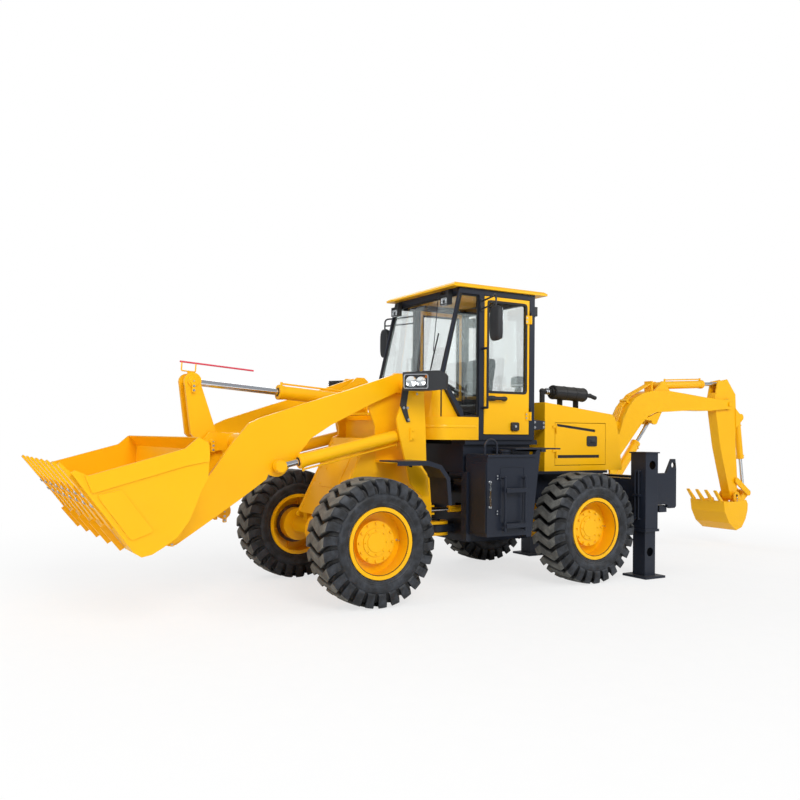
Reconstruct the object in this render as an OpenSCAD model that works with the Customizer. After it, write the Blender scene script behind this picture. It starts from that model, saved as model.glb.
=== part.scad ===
// Backhoe loader: articulated four-wheel machine with a Z-bar loader, cab,
// hood, vertical stabilizer legs and a side-shifting backhoe.
// +X points forward to the loader bucket, +Y to the machine's left, +Z up.
// The ground is z = 0 and the plan origin is the centre of the bounding box.
// Until place() moves them, pieces are drawn with x = 0 at the steering pin.

/* [Wheels] */
// Distance between the axles
wheelbase = 2640; // [2500:10:2900]
// Distance between the wheel centre planes
track = 1757; // [1700:1:1850]
// Outside diameter over the tread
tyre_d = 1178; // [1120:2:1200]
// Width of a tyre
tyre_w = 418; // [380:2:430]
// Bead seat diameter of the rim
rim_d = 610; // [590:2:640]
// Height of the rim flange over the bead seat
rim_flange = 21; // [12:1:30]
// Thickness of the rim barrel
rim_t = 14; // [10:1:20]

/* [Cab] */
// Height of the roof over the ground
roof_z = 3115; // [3000:5:3300]
// Thickness of the roof skin edge
roof_t = 42; // [30:1:60]
// Half width of the roof
roof_half = 657; // [630:1:700]
// Half width over the cab posts
cab_half = 622; // [600:1:640]
// Underside of the cab
cab_z0 = 1518; // [1480:2:1540]
// Front face of the side post
post_x = -94; // [-120:1:-60]
// Rear face of the cab
cab_rear = -839; // [-880:1:-800]
// Width of a side post
post_w = 62; // [50:1:75]
// Thickness of a door leaf
door_t = 40; // [30:1:50]
// Gap around a door leaf
door_gap = 6; // [5:0.5:9]
// Thickness of the window glass
glass_t = 6; // [5:0.5:8]

/* [Hood] */
// Top of the hood at its front
hood_z = 1935; // [1880:5:1980]
// Top of the hood at its rear
hood_z_rear = 1800; // [1740:5:1840]
// Half width of the hood
hood_half = 520; // [490:5:560]
// Thickness of the hood skin
hood_t = 4; // [3:0.5:6]

/* [Loader] */
// Thickness of an arm plate
arm_t = 40; // [30:1:50]
// Inner face of an arm plate from the centre plane
arm_y = 430; // [410:1:450]
// Half width of the loader bucket
bucket_half = 1146; // [1050:2:1180]
// Thickness of the bucket skin
bucket_t = 14; // [10:1:18]
// Bore side radius of the lift cylinder barrel
lift_r = 62; // [52:1:64]
// Radius of the lift cylinder rod
lift_rod_r = 30; // [24:1:34]
// Radius of the tilt cylinder barrel
tilt_r = 66; // [58:1:72]
// Radius of the tilt cylinder rod
tilt_rod_r = 32; // [26:1:38]

/* [Stabilizers] */
// Width of the outer leg tube along the machine
leg_w = 196; // [180:2:210]
// Middle of the leg from the centre plane
leg_y = 944; // [930:1:960]
// Top of the outer leg tube
leg_top = 1390; // [1340:5:1440]
// Wall of the outer leg tube
leg_wall = 9; // [6:1:12]
// Lift of the foot when the leg is raised
leg_lift = 420; // [300:10:450]

/* [Backhoe] */
// Middle of the carriage from the centre plane, to the right
hoe_y = -450; // [-480:5:-400]
// Thickness of the boom box across the machine
boom_w = 230; // [200:2:240]
// Width of the digging bucket
hoe_w = 560; // [500:5:600]

/* [Hidden] */
$fn = 64;

yellow = "#f9b414";
black = "#262a33";
steel = "#c9ced2";
rubber = "#303234";

axle_x = wheelbase / 2;
tyre_r = tyre_d / 2;
wheel_y = track / 2;
fit = 0.3;        // seat gap between pieces
clear = 6;        // gap between pieces that move

// Loader pins in the side view, as [x, z]
arm_pin = [700, 2060];
bucket_pin = [3060, 715];
lift_base = [740, 1578];
lift_eye = [2089, 1272];
tilt_base = [1000, 1905];
rocker_top = [2762, 2040];
rocker_pin = [2600, 1490];
rocker_low = [2460, 840];
bucket_ear = [2940, 900];
// Backhoe pins in the side view
swing_x = -2850;
boom_foot = [-2960, 1230];
boom_base = [-3040, 830];
boom_eye = [-3850, 1790];
stick_pin = [-5400, 2045];
stick_base = [-4030, 2275];
stick_eye = [-5417, 2349];
hoe_pin = [-5560, 708];
hoe_base = [-5720, 1860];
hoe_joint = [-5880, 740];
hoe_lever_pin = [-5610, 930];
hoe_ear = [-5668, 560];
// Outermost points along the machine, which centre the plan origin
front_tip = [4075, 1330];
rear_reach = 45;
rear_tip = hoe_joint[0] - rear_reach;
x_shift = -(front_tip[0] + rear_tip) / 2;

module place() { translate([x_shift, 0, 0]) children(); }
module both() { children(); mirror([0, 1, 0]) children(); }
// Plate from its outline in the side view, between y and y + t
module plate(y, t, pts) { translate([0, y + t, 0]) rotate([90, 0, 0]) linear_extrude(t) polygon(pts); }
// Cylinder along Y at a side view point
module pin(p, y0, y1, r) { translate([p[0], y1, p[1]]) rotate([90, 0, 0]) cylinder(h = y1 - y0, r = r); }
module block(x0, x1, y0, y1, z0, z1) { translate([x0, y0, z0]) cube([x1 - x0, y1 - y0, z1 - z0]); }
module zcyl(x, y, z0, z1, r) { translate([x, y, z0]) cylinder(h = z1 - z0, r = r); }
// Cylinder in the side view plane, from s to e along the line a to b
module along(a, b, y, s, e, r) {
    d = b - a;
    translate([a[0], y, a[1]]) rotate([0, 90 - atan2(d[1], d[0]), 0]) translate([0, 0, s]) cylinder(h = e - s, r = r);
}
function far(a, b) = norm(b - a);
// Points of an arc about c
function arc(c, r, a0, a1, n = 8) = [for (i = [0:n]) c + r * [cos(a0 + (a1 - a0) * i / n), sin(a0 + (a1 - a0) * i / n)]];
// Side view outline of a bar with round ends
function bar(a, b, ra, rb) = let (t = atan2(b[1] - a[1], b[0] - a[0]), k = asin((ra - rb) / norm(b - a)))
    concat(arc(a, ra, t + 90 - k, t + 270 + k, 12), arc(b, rb, t - 90 + k, t + 90 - k, 12));

// Hydraulic barrel with its base eye, from the base pin to the gland
module barrel(a, b, y, len, r, rod_r, eye_w) {
    difference() {
        union() {
            along(a, b, y, 0, 96, min(r, eye_w / 2) - 4);
            along(a, b, y, 92, len, r);
            along(a, b, y, len - 40, len + 12, r + 4);
            pin(a, y - eye_w / 2, y + eye_w / 2, 46);
        }
        along(a, b, y, 112, len - 60, r - 12);
        along(a, b, y, 100, len + 40, rod_r + 0.06);
        pin(a, y - eye_w, y + eye_w, 25.05);
    }
}
// Pressure pipe that stands off a barrel on two ports, up the side that faces n = 1 or -1
line_r = 9;    // outer radius of a steel pipe
line_off = 20; // gap from a barrel's surface to the middle of its pipe
module barrel_line(a, b, y, len, r, n) {
    d = (b - a) / far(a, b);
    out = n * [-d[1], d[0]];
    start = a + out * (r + line_off);
    along(start, start + d, y, 130, len - 15, line_r);
    for (s = [130, len - 15]) along(a + d * s + out * (r - 6), a + d * s + out * r, y, 0, line_off + line_r + 12, line_r + 4);
}
// Rod with its end eye, which carries its own pin
module rod(a, b, y, len, lap, r, eye_r, eye_w) {
    full = far(a, b);
    along(a, b, y, len - lap, full - eye_r * 0.6, r);
    pin(b, y - eye_w / 2, y + eye_w / 2, eye_r);
}

// Tyre: a hollow carcass whose tread is a ring of leaning bars, three steps of angle to a bar
bars = 26;
bar_h = 32;
bar_lean = 4.6;   // degrees that a bar turns from the middle of the tread to its shoulder
module tyre(x, s) {
    w = tyre_w / 2;
    steps = 3 * bars;
    bead = (rim_d / 2 + fit) / cos(180 / steps);
    // Columns: place across, radius, share of a bar's height, side to which the bar leans
    section = [
        [-w * 0.80 + fit, bead + rim_flange + 3, 0, 0], [-w, bead + 135, 0, 0], [-w * 0.88, tyre_r - bar_h, 1, -1],
        [w * 0.88, tyre_r - bar_h, 1, 1], [w, bead + 135, 0, 0], [w * 0.80 - fit, bead + rim_flange + 3, 0, 0],
        [w * 0.62, bead, 0, 0], [0, tyre_r - 85, 0, 0], [-w * 0.62, bead, 0, 0]];
    n = len(section);
    points = [for (i = [0:steps - 1]) for (q = section)
        let (a = i * 360 / steps + q[3] * bar_lean, r = q[1] + (i % 3 < 2 ? q[2] * bar_h : 0)) [r * cos(a), r * sin(a), q[0]]];
    faces = [for (i = [0:steps - 1]) for (k = [0:n - 1])
        let (a = i * n + k, b = i * n + (k + 1) % n, c = (i + 1) % steps * n + (k + 1) % n, d = (i + 1) % steps * n + k)
            each [[a, b, c], [a, c, d]]];
    color(rubber) place() translate([x, s * wheel_y, tyre_r]) rotate([90, 0, 0]) polyhedron(points, faces);
}

// Rim: barrel with flanges, disc and planetary hub with its bolts
module rim(x, s) {
    w = tyre_w / 2;
    seat_r = rim_d / 2;
    color(yellow) place() translate([x, s * wheel_y, tyre_r]) rotate([s > 0 ? -90 : 90, 0, 0]) {
        difference() {
            union() {
                cylinder(h = w * 1.6 + 2, r = seat_r, center = true);
                for (e = [-1, 1]) translate([0, 0, e * (w * 0.80 + 7)]) cylinder(h = 14, r = seat_r + rim_flange, center = true);
            }
            for (e = [0, 1]) mirror([0, 0, e]) translate([0, 0, 10]) cylinder(h = w + 10, r = seat_r - rim_t);
        }
        // Planetary hub, its cap and the ring of wheel bolts
        translate([0, 0, 9]) cylinder(h = hub_face - 9, r = hub_r);
        translate([0, 0, hub_face - 1]) cylinder(h = 9, r = 130);
        translate([0, 0, hub_face + 7]) cylinder(h = 6, r = 90);
        for (i = [0:11]) rotate([0, 0, i * 30]) translate([hub_r - 22, 0, hub_face - 1]) cylinder(h = 17, r = 12, $fn = 6);
        for (i = [0:7]) rotate([0, 0, i * 45]) translate([110, 0, hub_face + 7]) cylinder(h = 10, r = 9, $fn = 6);
        translate([0, 0, -hub_back]) cylinder(h = hub_back - 8, r = 140);
    }
}

// Front half of the articulated frame with the loader towers
tower_out = [[530, 960], [567, 1313], [580, 1674], [591, 1814], [600, 1930], [594, 2140], [640, 2181], [790, 2181], [835, 2130],
             [835, 1930], [853, 1873], [913, 1718], [898, 1630], [810, 1313], [756, 1088], [610, 960]];
tower_in = [[650, 1313], [650, 2140], [700, 2181], [790, 2181], [850, 2130], [1085, 1975], [1085, 1830], [1010, 1650], [1000, 1313]];
nose = [[1075, 1530], [1470, 760]];   // top and foot of the sloping front plate
frame_side = [[330, 420], [330, 1100], [560, 1290], [1000, 1290], [1010, 1560], nose[0], nose[1] + [10, 0], [1500, 735], [1470, 710],
              [1420, 860], [1160, 860], [1100, 420]];
tower_y = 622;    // inner face of the outer tower plate
inner_y = 372;    // inner face of the inner tower plate
plate_t = 24;
pivot_r = 46;
hinge_z = [560, 1010];   // middles of the two steering hinge lugs
module front_chassis() {
    color(yellow) place() {
        both() {
            plate(tower_y, plate_t, tower_out);
            difference() {
                plate(inner_y, plate_t, tower_in);
                pin(lift_base, 0, 600, 25.05);
            }
            // Floor plate under the tower and side plates of the frame
            block(567, 1000, inner_y, tower_y + plate_t, 1290, 1314);
            plate(inner_y, plate_t, frame_side);
            // Pins of the arm and of the lift cylinder
            pin(arm_pin, inner_y + plate_t - 1, tower_y + 1, 34.95);
            pin(arm_pin, tower_y + plate_t - 1, tower_y + plate_t + 14, 52);
            pin(lift_base, inner_y + plate_t - 1, tower_y + 1, 24.95);
            block(lift_base[0] - 40, lift_base[0] + 25, tower_y + plate_t - 0.5, tower_y + plate_t + 12, lift_base[1] - 70, lift_base[1] + 55);
        }
        // Sloping nose plate and cross plates
        plate(-inner_y - 1, 2 * inner_y + 2, [nose[0], nose[1], nose[1] - [26, 0], nose[0] - [26, 0]]);
        block(640, 664, -inner_y - 1, inner_y + 1, 1500, 1800);
        block(560, 1000, -inner_y - 1, inner_y + 1, 1267, 1290);
        block(900, 924, -inner_y - 1, inner_y + 1, 1290, 1700);
        // Tilt cylinder lug between the towers
        block(924, 1085, -inner_y - 1, inner_y + 1, 1760, 1784);
        both() plate(54, 30, concat(arc(tilt_base, 62, 0, 180), [[tilt_base[0] - 62, 1783], [tilt_base[0] + 62, 1783]]));
        block(640, 924, -inner_y - 1, inner_y + 1, 1690, 1714);
        pin(tilt_base, -55, 55, 24.95);
        // Steering hinge: two lug pairs on a back plate
        block(330, 354, -inner_y - 1, inner_y + 1, 420, 1100);
        difference() {
            for (z = hinge_z) for (e = [-1, 1]) {
                block(0, 340, -130, 130, z + e * 60 - 15, z + e * 60 + 15);
                zcyl(0, 0, z + e * 60 - 15, z + e * 60 + 15, 130);
            }
            zcyl(0, 0, 300, 1300, pivot_r + 0.05);
        }
        // Lugs of the steering cylinder's rod
        for (e = [-1, 1]) difference() {
            block(210, 331, steer_eye[1] - 45, steer_eye[1] + 45, steer_z + e * 40 - 9, steer_z + e * 40 + 9);
            zcyl(steer_eye[0], steer_eye[1], steer_z - 60, steer_z + 60, 15.05);
        }
    }
}

// Rear frame: two side plates with cross pieces and the hinge tongues
module rear_chassis() {
    color(black) place() {
        both() {
            plate(frame_y, 24, [[-160, 430], [-160, 1130], [-420, 1170], [-2066, 1170], [-2066, 860], [-1600, 860], [-1040, 860], [-900, 430]]);
            // Deck under the cab and its mounts
            block(-840, 80, 354, 560, 1150, 1174);
            for (x = [-40, -780]) block(x - 50, x + 50, 380, 520, 1173, 1470);
            block(-900, 60, 360, 600, 1470, cab_z0 - fit);
            // Deck plate beside the hood
            block(-2000, -840, 353, 560, 1146, hood_z0 - fit);
        }
        difference() {
            block(-184, -160, -354, 354, 430, 1130);
            block(-190, -150, steer_base[1] - 100, steer_base[1] + 99, steer_z - 55, steer_z + 55);
        }
        // Lugs of the steering cylinder's base
        for (e = [-1, 1]) difference() {
            block(steer_base[0] - 50, steer_base[0] + 30, steer_base[1] - 45, 331, steer_z + e * 44 - 9, steer_z + e * 44 + 9);
            zcyl(steer_base[0], steer_base[1], steer_z - 60, steer_z + 60, 15.05);
        }
        block(-900, -876, -354, 354, 430, 1160);
        block(-2066, -2042, -354, 354, 860, 1170);
        block(-1000, -160, -340, 340, 430, 454);
        for (z = hinge_z) {
            block(-170, 0, -120, 120, z - 38, z + 38);
            zcyl(0, 0, z - 38, z + 38, 120);
            zcyl(0, 0, z - 90, z + 90, pivot_r);
        }
        // Bulkhead and skirts that close the space under the cab
        block(40, 52, -557, 557, 1172, 1472);
        both() block(-835, 41, 546, 557, 1172, 1472);
    }
}

hub_back = 60;
hub_face = 78;   // outer face of the planetary hub from the wheel's middle
hub_r = 195;
frame_y = 330;   // inner face of a side plate of the rear frame
// Axle: housing, centre bowl and brake drums, reaching into the rims
module axle(x, seat_y) {
    reach = wheel_y - hub_back - fit;
    color(yellow) place() translate([x, 0, tyre_r]) {
        rotate([90, 0, 0]) cylinder(h = 2 * reach, r = 85, center = true);
        rotate([90, 0, 0]) cylinder(h = 240, r = 190, center = true);
        both() translate([0, reach, 0]) rotate([90, 0, 0]) cylinder(h = 130, r = 175);
        both() translate([-70, seat_y - 30, 70]) cube([140, 84, 860 - fit - tyre_r - 70]);
    }
}
module rear_axle() { axle(-axle_x, frame_y); }
module front_axle() { axle(axle_x, inner_y); }

// Engine as one block on four feet between the side plates of the rear frame
module engine_block() {
    color("#4a4f57") place() {
        block(-1880, -1120, -260, 260, 900, 1640);
        both() for (x = [-1780, -1260]) block(x - 45, x + 45, 259, frame_y - fit, 930, 1010);
    }
}

// Hood: skin with open side bays for the doors
bay = [-1230, -2010, 1235, 1715];    // front, rear, bottom and top of a side bay
hood_front = -1082;
hood_z0 = 1175;
hood_rear = -2276;
hood_hinge_z = [bay[2] + 90, bay[3] - 120];
hood_hinge_y = hood_half + 10;
hood_bend = -2110;
function hood_top(x) = hood_z - (hood_front - x) * (hood_z - hood_z_rear - 20) / (hood_front - hood_bend);
module hood() {
    outer = [[hood_front, 1175], [hood_front, hood_z], [hood_bend, hood_z_rear + 20], [-2160, hood_z_rear - 20], [-2225, 1580], [hood_rear, 1175]];
    inner = [[hood_front - hood_t, 1100], [hood_front - hood_t, hood_z - hood_t], [-2108, hood_z_rear + 16], [-2156, hood_z_rear - 24], [-2220, 1580], [hood_rear + hood_t, 1100]];
    color(yellow) place() {
        difference() {
            plate(-hood_half, 2 * hood_half, outer);
            plate(-hood_half + hood_t, 2 * (hood_half - hood_t), inner);
            block(bay[1], bay[0], -hood_half - 5, hood_half + 5, bay[2], bay[3]);
            block(hood_rear - 20, hood_rear + 100, -grille_y, grille_y, grille_z[0], grille_z[1]);
        }
        // Hinge knuckles and pins of the side doors
        both() for (z = hood_hinge_z) {
            zcyl(bay[0] - 18, hood_hinge_y, z - 1, z + 85, 4);
            zcyl(bay[0] - 18, hood_hinge_y, z + 60 + fit, z + 85, 9);
            block(bay[0] - 18, bay[0] + 35, hood_half + fit, hood_half + 12, z + 60 + fit, z + 85);
            block(bay[0] + 2, bay[0] + 35, hood_half - 1, hood_half + 12, z + 60 + fit, z + 85);
        }
    }
}
// Grille in the rear wall of the hood: side bars and tilted slats in front of the cooler
grille_y = 330;
grille_z = [1235, 1535];
slats = 9;
function wall_x(z) = -2225 + (z - 1580) * (-2225 - hood_rear) / (1580 - 1175);   // outer face of the rear wall
module hood_grille() {
    pitch = (grille_z[1] - grille_z[0]) / slats;
    color("#24272c") place() {
        both() plate(grille_y - 22, 22 - fit, [for (q = [[1, 0], [1, 1], [26, 1], [26, 0]]) [wall_x(grille_z[q[1]]) + q[0], grille_z[q[1]] + (q[1] > 0 ? -fit : fit)]]);
        for (i = [0:slats - 1]) let (z = grille_z[0] + pitch * (i + 0.35), x = wall_x(z))
            plate(-grille_y + 10, 2 * grille_y - 20, [[x + 2, z - 9], [x + 22, z + 12], [x + 22, z + 16], [x + 2, z - 4]]);
    }
}
module hood_door(s) {
    color(yellow) place() mirror([0, s > 0 ? 0 : 1, 0]) difference() {
        union() {
            block(bay[1] + clear, bay[0] - clear, hood_half - 6, hood_half, bay[2] + clear, bay[3] - clear);
            block(bay[1] + 40, bay[0] - 60, hood_half - 30, hood_half - 5, bay[2] + 30, bay[2] + 60);
            for (z = hood_hinge_z) zcyl(bay[0] - 18, hood_hinge_y, z, z + 60, 9);
        }
        for (z = hood_hinge_z) zcyl(bay[0] - 18, hood_hinge_y, z - 5, z + 70, 4.05);
        block(-1910, -1275, hood_half - 12, hood_half + 5, 1318, 1352);
        plate(hood_half - 12, 20, [[-1262, 1672], [-1262, 1700], [-1845, 1640], [-1845, 1610]]);
    }
}

// Muffler, tail pipe, inlet pipe and air cleaner over the hood
muffler_r = 80;
module muffler() {
    front = [-1480, 2072];
    rear = [-1972, 2052];
    tail = [[-2079.5, 2047.6], [-2170, 2022]];
    color("#35383d") place() {
        along(front, rear, 200, 0, 492, muffler_r);
        for (s = [10, 170, 322, 470]) along(front, rear, 200, s, s + 12, muffler_r + 3);
        along(front, rear, 200, -24, 0.5, muffler_r - 30);
        along(front, rear, 200, 491, 520, muffler_r - 30);
        along(front, rear, 200, 515, 600, 24);
        translate([tail[0][0], 200, tail[0][1]]) sphere(r = 28);
        along(tail[0], tail[1], 200, 0, far(tail[0], tail[1]), 24);
        along(front, [-1330, 2079], 200, 20, 151, 30);
        translate([-1330, 200, 2079]) sphere(r = 34);
        zcyl(-1330, 200, hood_top(-1299) + fit, 2079, 30);
        for (x = [-1600, -1850]) block(x - 6, x + 6, 160, 240, hood_top(x + 6) + fit, 2000);
        for (x = [-1600, -1850]) block(x - 30, x + 6, 160, 240, hood_top(x + 6) + fit, hood_top(x + 6) + 7);
        zcyl(-1380, -280, hood_top(-1339) + fit, 2151, 40);
        zcyl(-1380, -280, 2150, 2260, 85);
        zcyl(-1380, -280, 2259, 2275, 60);
    }
}

rail_at = [-138, cab_half + 86];   // x and y of the grab rail's bar
rail_z = [1850, 2460];
rail_r = 12.5;
// Cab: floor pan, posts, rails and rear wall frame
module cab_frame() {
    top = roof_z - roof_t - fit;
    h = cab_half;
    color(black) place() {
        block(cab_rear, 338, -h + 62, h - 62, cab_z0, cab_z0 + 30);
        both() {
            block(post_x - post_w, post_x, h - 60, h, cab_z0, top);
            block(cab_rear, cab_rear + 70, h - 70, h, cab_z0, top);
            block(cab_rear, post_x, h - 60, h, cab_z0, cab_z0 + 54);
            block(cab_rear, 150, h - 60, h, top - 60, top);
            // Front post, sloping out from the roof to the cowl
            plate(h - 24, 24, [[134, top], [156, top], [380, 2142], [358, 2134]]);
            plate(h - 50, 50, [[343, 2128], [387, 2145], [135, 1752 + fit], [100, 1752 + fit], [100, 1800]]);
        }
        block(cab_rear, cab_rear + 50, -h + 60, h - 60, top - 90, top);
        block(cab_rear, cab_rear + 50, -h + 60, h - 60, cab_z0, cab_z0 + 480);
        block(100, 160, -h + 40, h - 40, top - 60, top);
        // Grab rail beside each door
        both() {
            zcyl(rail_at[0], rail_at[1], rail_z[0], rail_z[1], rail_r);
            for (z = rail_z) {
                translate([rail_at[0], rail_at[1], z]) sphere(r = rail_r + 0.5);
                pin([rail_at[0], z], h - 5, rail_at[1], rail_r);
            }
        }
        // Hinge knuckles and pins of the doors
        both() for (z = door_hinge_z) {
            zcyl(hinge_pin[0], hinge_pin[1], z - 2, z + 130, 5);
            zcyl(hinge_pin[0], hinge_pin[1], z + 90 + fit, z + 130, 11);
            block(cab_rear + 20, hinge_pin[0], h - 1, h + 12, z + 90 + fit, z + 130);
        }
    }
}

// Cowl: lower skirt with a ledge, and the nose under the windscreen
module cowl() {
    h = cab_half;
    front = 440;
    color(yellow) place() difference() {
        union() {
            intersection() {
                block(post_x + fit, front, -h, h, cab_z0 + 0, 1752);
                union() {
                    block(post_x - 5, front - 200, -h, h, 1400, 2200);
                    block(post_x - 5, front, -h + 200, h - 200, 1400, 2200);
                    both() zcyl(front - 200, h - 200, 1400, 2200, 200);
                }
            }
            intersection() {
                plate(-h + 50, 2 * h - 100, [[112, 1751], [front - 10, 1751], [400, 2095], [365, 2122], [342, 2118], [112, 1790]]);
                union() {
                    block(0, front - 150, -h + 50, h - 50, 1400, 2200);
                    block(0, front, -h + 200, h - 200, 1400, 2200);
                    both() zcyl(front - 160, h - 210, 1400, 2200, 160);
                }
            }
        }
        block(post_x - 10, 342, -h + 58, h - 58, cab_z0 - 10, 2300);
    }
}

module roof() {
    h = roof_half;
    color(yellow) place() hull() {
        block(-985, 252, -h, h, roof_z - roof_t, roof_z - roof_t + 20);
        block(-960, 228, -h + 24, h - 24, roof_z - 10, roof_z);
    }
}

module cab_glass() {
    h = cab_half;
    top = roof_z - roof_t - fit - 60;
    color("#8fc0c4") place() {
        // Quarter glass on each side
        both() plate(h - 30, glass_t, [[post_x + fit, top - fit], [131, top - fit], [349, 2137], [340, 2131], [98, 1803], [98, 1753], [post_x + fit, 1753]]);
        // Windscreen and rear window
        plate(-h + 24 + fit, 2 * (h - 24 - fit), [[137, top - fit], [144, top - fit], [370.5, 2142], [363.5, 2142]]);
        block(cab_rear + 20, cab_rear + 20 + glass_t, -h + 70 + fit, h - 70 - fit, cab_z0 + 480 + fit, top - 30 - fit);
    }
}

// Door leaf: frame with a window cut, hinge barrels and handle
door_z = [cab_z0 + 54 + door_gap, roof_z - roof_t - fit - 60 - door_gap];
door_x = [cab_rear + 70 + door_gap, post_x - post_w - door_gap];
win = [door_x[0] + 34, door_x[1] - 40, 2010, door_z[1] - 42];
hinge_pin = [cab_rear + 62, cab_half + 12];
door_hinge_z = [door_z[0] + 150, door_z[1] - 250];
module door(s) {
    color(yellow) place() mirror([0, s > 0 ? 0 : 1, 0]) {
        difference() {
            block(door_x[0], door_x[1], cab_half - door_t, cab_half, door_z[0], door_z[1]);
            block(win[0], win[1], cab_half - door_t - 5, cab_half + 5, win[2], win[3]);
        }
        for (z = door_hinge_z) {
            difference() {
                zcyl(hinge_pin[0], hinge_pin[1], z, z + 90, 11);
                zcyl(hinge_pin[0], hinge_pin[1], z - 5, z + 95, 5.05);
            }
            block(hinge_pin[0] + 8, door_x[0] + 50, cab_half + fit, cab_half + 8, z, z + 90);
            block(door_x[0], door_x[0] + 50, cab_half - 1, cab_half + 8, z, z + 90);
        }
        block(-430, -240, cab_half - 0.5, cab_half + 35, 1935, 1965);
        block(-610, -520, cab_half - 0.5, cab_half + 20, 1620, 1700);
    }
}
module door_glass(s) {
    color("#8fc0c4") place() mirror([0, s > 0 ? 0 : 1, 0])
        block(win[0] + fit, win[1] - fit, cab_half - 24, cab_half - 24 + glass_t, win[2] + fit, win[3] - fit);
}

// Operator's seat and the pedestal under it
module seat() {
    floor_z = cab_z0 + 30 + fit;
    color("#3a3c40") place() {
        block(-560, -240, -190, 190, floor_z, 1790);
        block(-600, -150, -240, 240, 1789, 1900);
        plate(-230, 460, [[-600, 1899], [-470, 1899], [-560, 2420], [-660, 2420]]);
    }
}
// Steering column with its wheel, lever console and pedals
module controls() {
    floor_z = cab_z0 + 30 + fit;
    color("#2d3034") place() {
        plate(-70, 140, [[-60, floor_z], [50, floor_z], [50, 1880], [-10, 2050], [-60, 1960]]);
        // Steering wheel: rim, shaft, boss and three spokes
        translate([-30, 0, 2075]) rotate([0, -25, 0]) {
            difference() {
                cylinder(h = 26, r = 205);
                translate([0, 0, -5]) cylinder(h = 40, r = 178);
            }
            translate([0, 0, -80]) cylinder(h = 90, r = 16);
            cylinder(h = 20, r = 45);
            for (a = [0:120:240]) rotate([0, 0, a]) translate([0, -12, 4]) cube([185, 24, 12]);
        }
        block(-560, -180, -400, -300, floor_z, 1960);
        for (x = [-300, -380]) zcyl(x, -350, 1959, 2120, 9);
        for (y = [-180, 120]) block(60, 180, y, y + 60, floor_z, floor_z + 60);
    }
}

// Side tanks with their ladders, hinge posts and grab loops
module side_tanks() {
    color(black) place() both() {
        plate(600, 350, [[50, 560], [50, 1365], [-560, 1365], [-460, 560]]);
        block(-570, 52, 590, 965, 1350, 1375);
        // Hinge post and front plate
        block(20, 75, 560, 650, 490, 1190);
        block(-120, 20, 354, 600.5, 700, 760);
        block(-120, 20, 354, 600.5, 1050, 1110);
        block(49, 60, 700, 940, 600, 1300);
        // Strut from the deck down the rear edge of the tank
        plate(900, 50, [[-560, 1360], [-600, 1440], [-640, 1440], [-520, 540], [-455, 540]]);
        block(-900, -300, 600, 960, 1425, 1440);
        block(-700, -640, 559, 960, 1400, 1426);
        // Ladder rails with two treads
        for (x = [-140, -400]) {
            zcyl(x, 1000, 610, 1160, 12);
            for (z = [630, 1140]) translate([x, 945, z]) rotate([-90, 0, 0]) cylinder(h = 55, r = 9);
        }
        for (z = [650, 1000]) block(-404, -136, 990, 1030, z, z + 40);
        // Grab loop on the tank
        for (x = [40, -110]) zcyl(x, 900, 1374, 1450, 11);
        translate([-35, 900, 1450]) rotate([90, 0, 0]) rotate_extrude(angle = 180) translate([75, 0]) circle(r = 11);
    }
}

module mirrors() {
    at = [35, 1050];             // middle of a mirror head in plan
    bend = [-20, 960];           // bend of its two arms
    root = [-125, cab_half + 6];    // inside their bracket
    bracket = [2870, 2950];      // heights of the arms
    arm_w = 8;                   // half thickness
    n1 = arm_w * [bend[1] - root[1], root[0] - bend[0]] / far(root, bend);
    n2 = arm_w * [at[1] - bend[1], bend[0] - at[0]] / far(bend, at);
    n = (n1 + n2) / 2;
    color(black) place() both() {
        block(at[0] - 28, at[0] + 28, at[1] - 85, at[1] + 85, 2490, 2832);
        block(-150, -100, cab_half + fit, cab_half + 14, bracket[0] - 25, bracket[1] + 25);
        for (z = bracket) translate([0, 0, z - arm_w]) linear_extrude(height = 2 * arm_w)
            polygon([root + n1, bend + n, at + n2, at - n2, bend - n, root - n1]);
        zcyl(at[0], at[1], 2825, bracket[1] + 12, 11);
    }
}
module lamps() {
    top = roof_z - roof_t - fit;   // top of the header that carries the front pair
    color("#2b2d31") place() {
        both() {
            difference() {
                block(196, 256, 415, 545, top - 172, top - 72);
                block(246, 260, 425, 535, top - 162, top - 82);
            }
            block(160 + fit, 215, 460, 500, top - 90, top - 20);
        }
        both() difference() {
            block(cab_rear - 75, cab_rear - fit, 465, 580, top - 212, top - 112);
            block(cab_rear - 80, cab_rear - 66, 475, 570, top - 202, top - 122);
        }
    }
}

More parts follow.
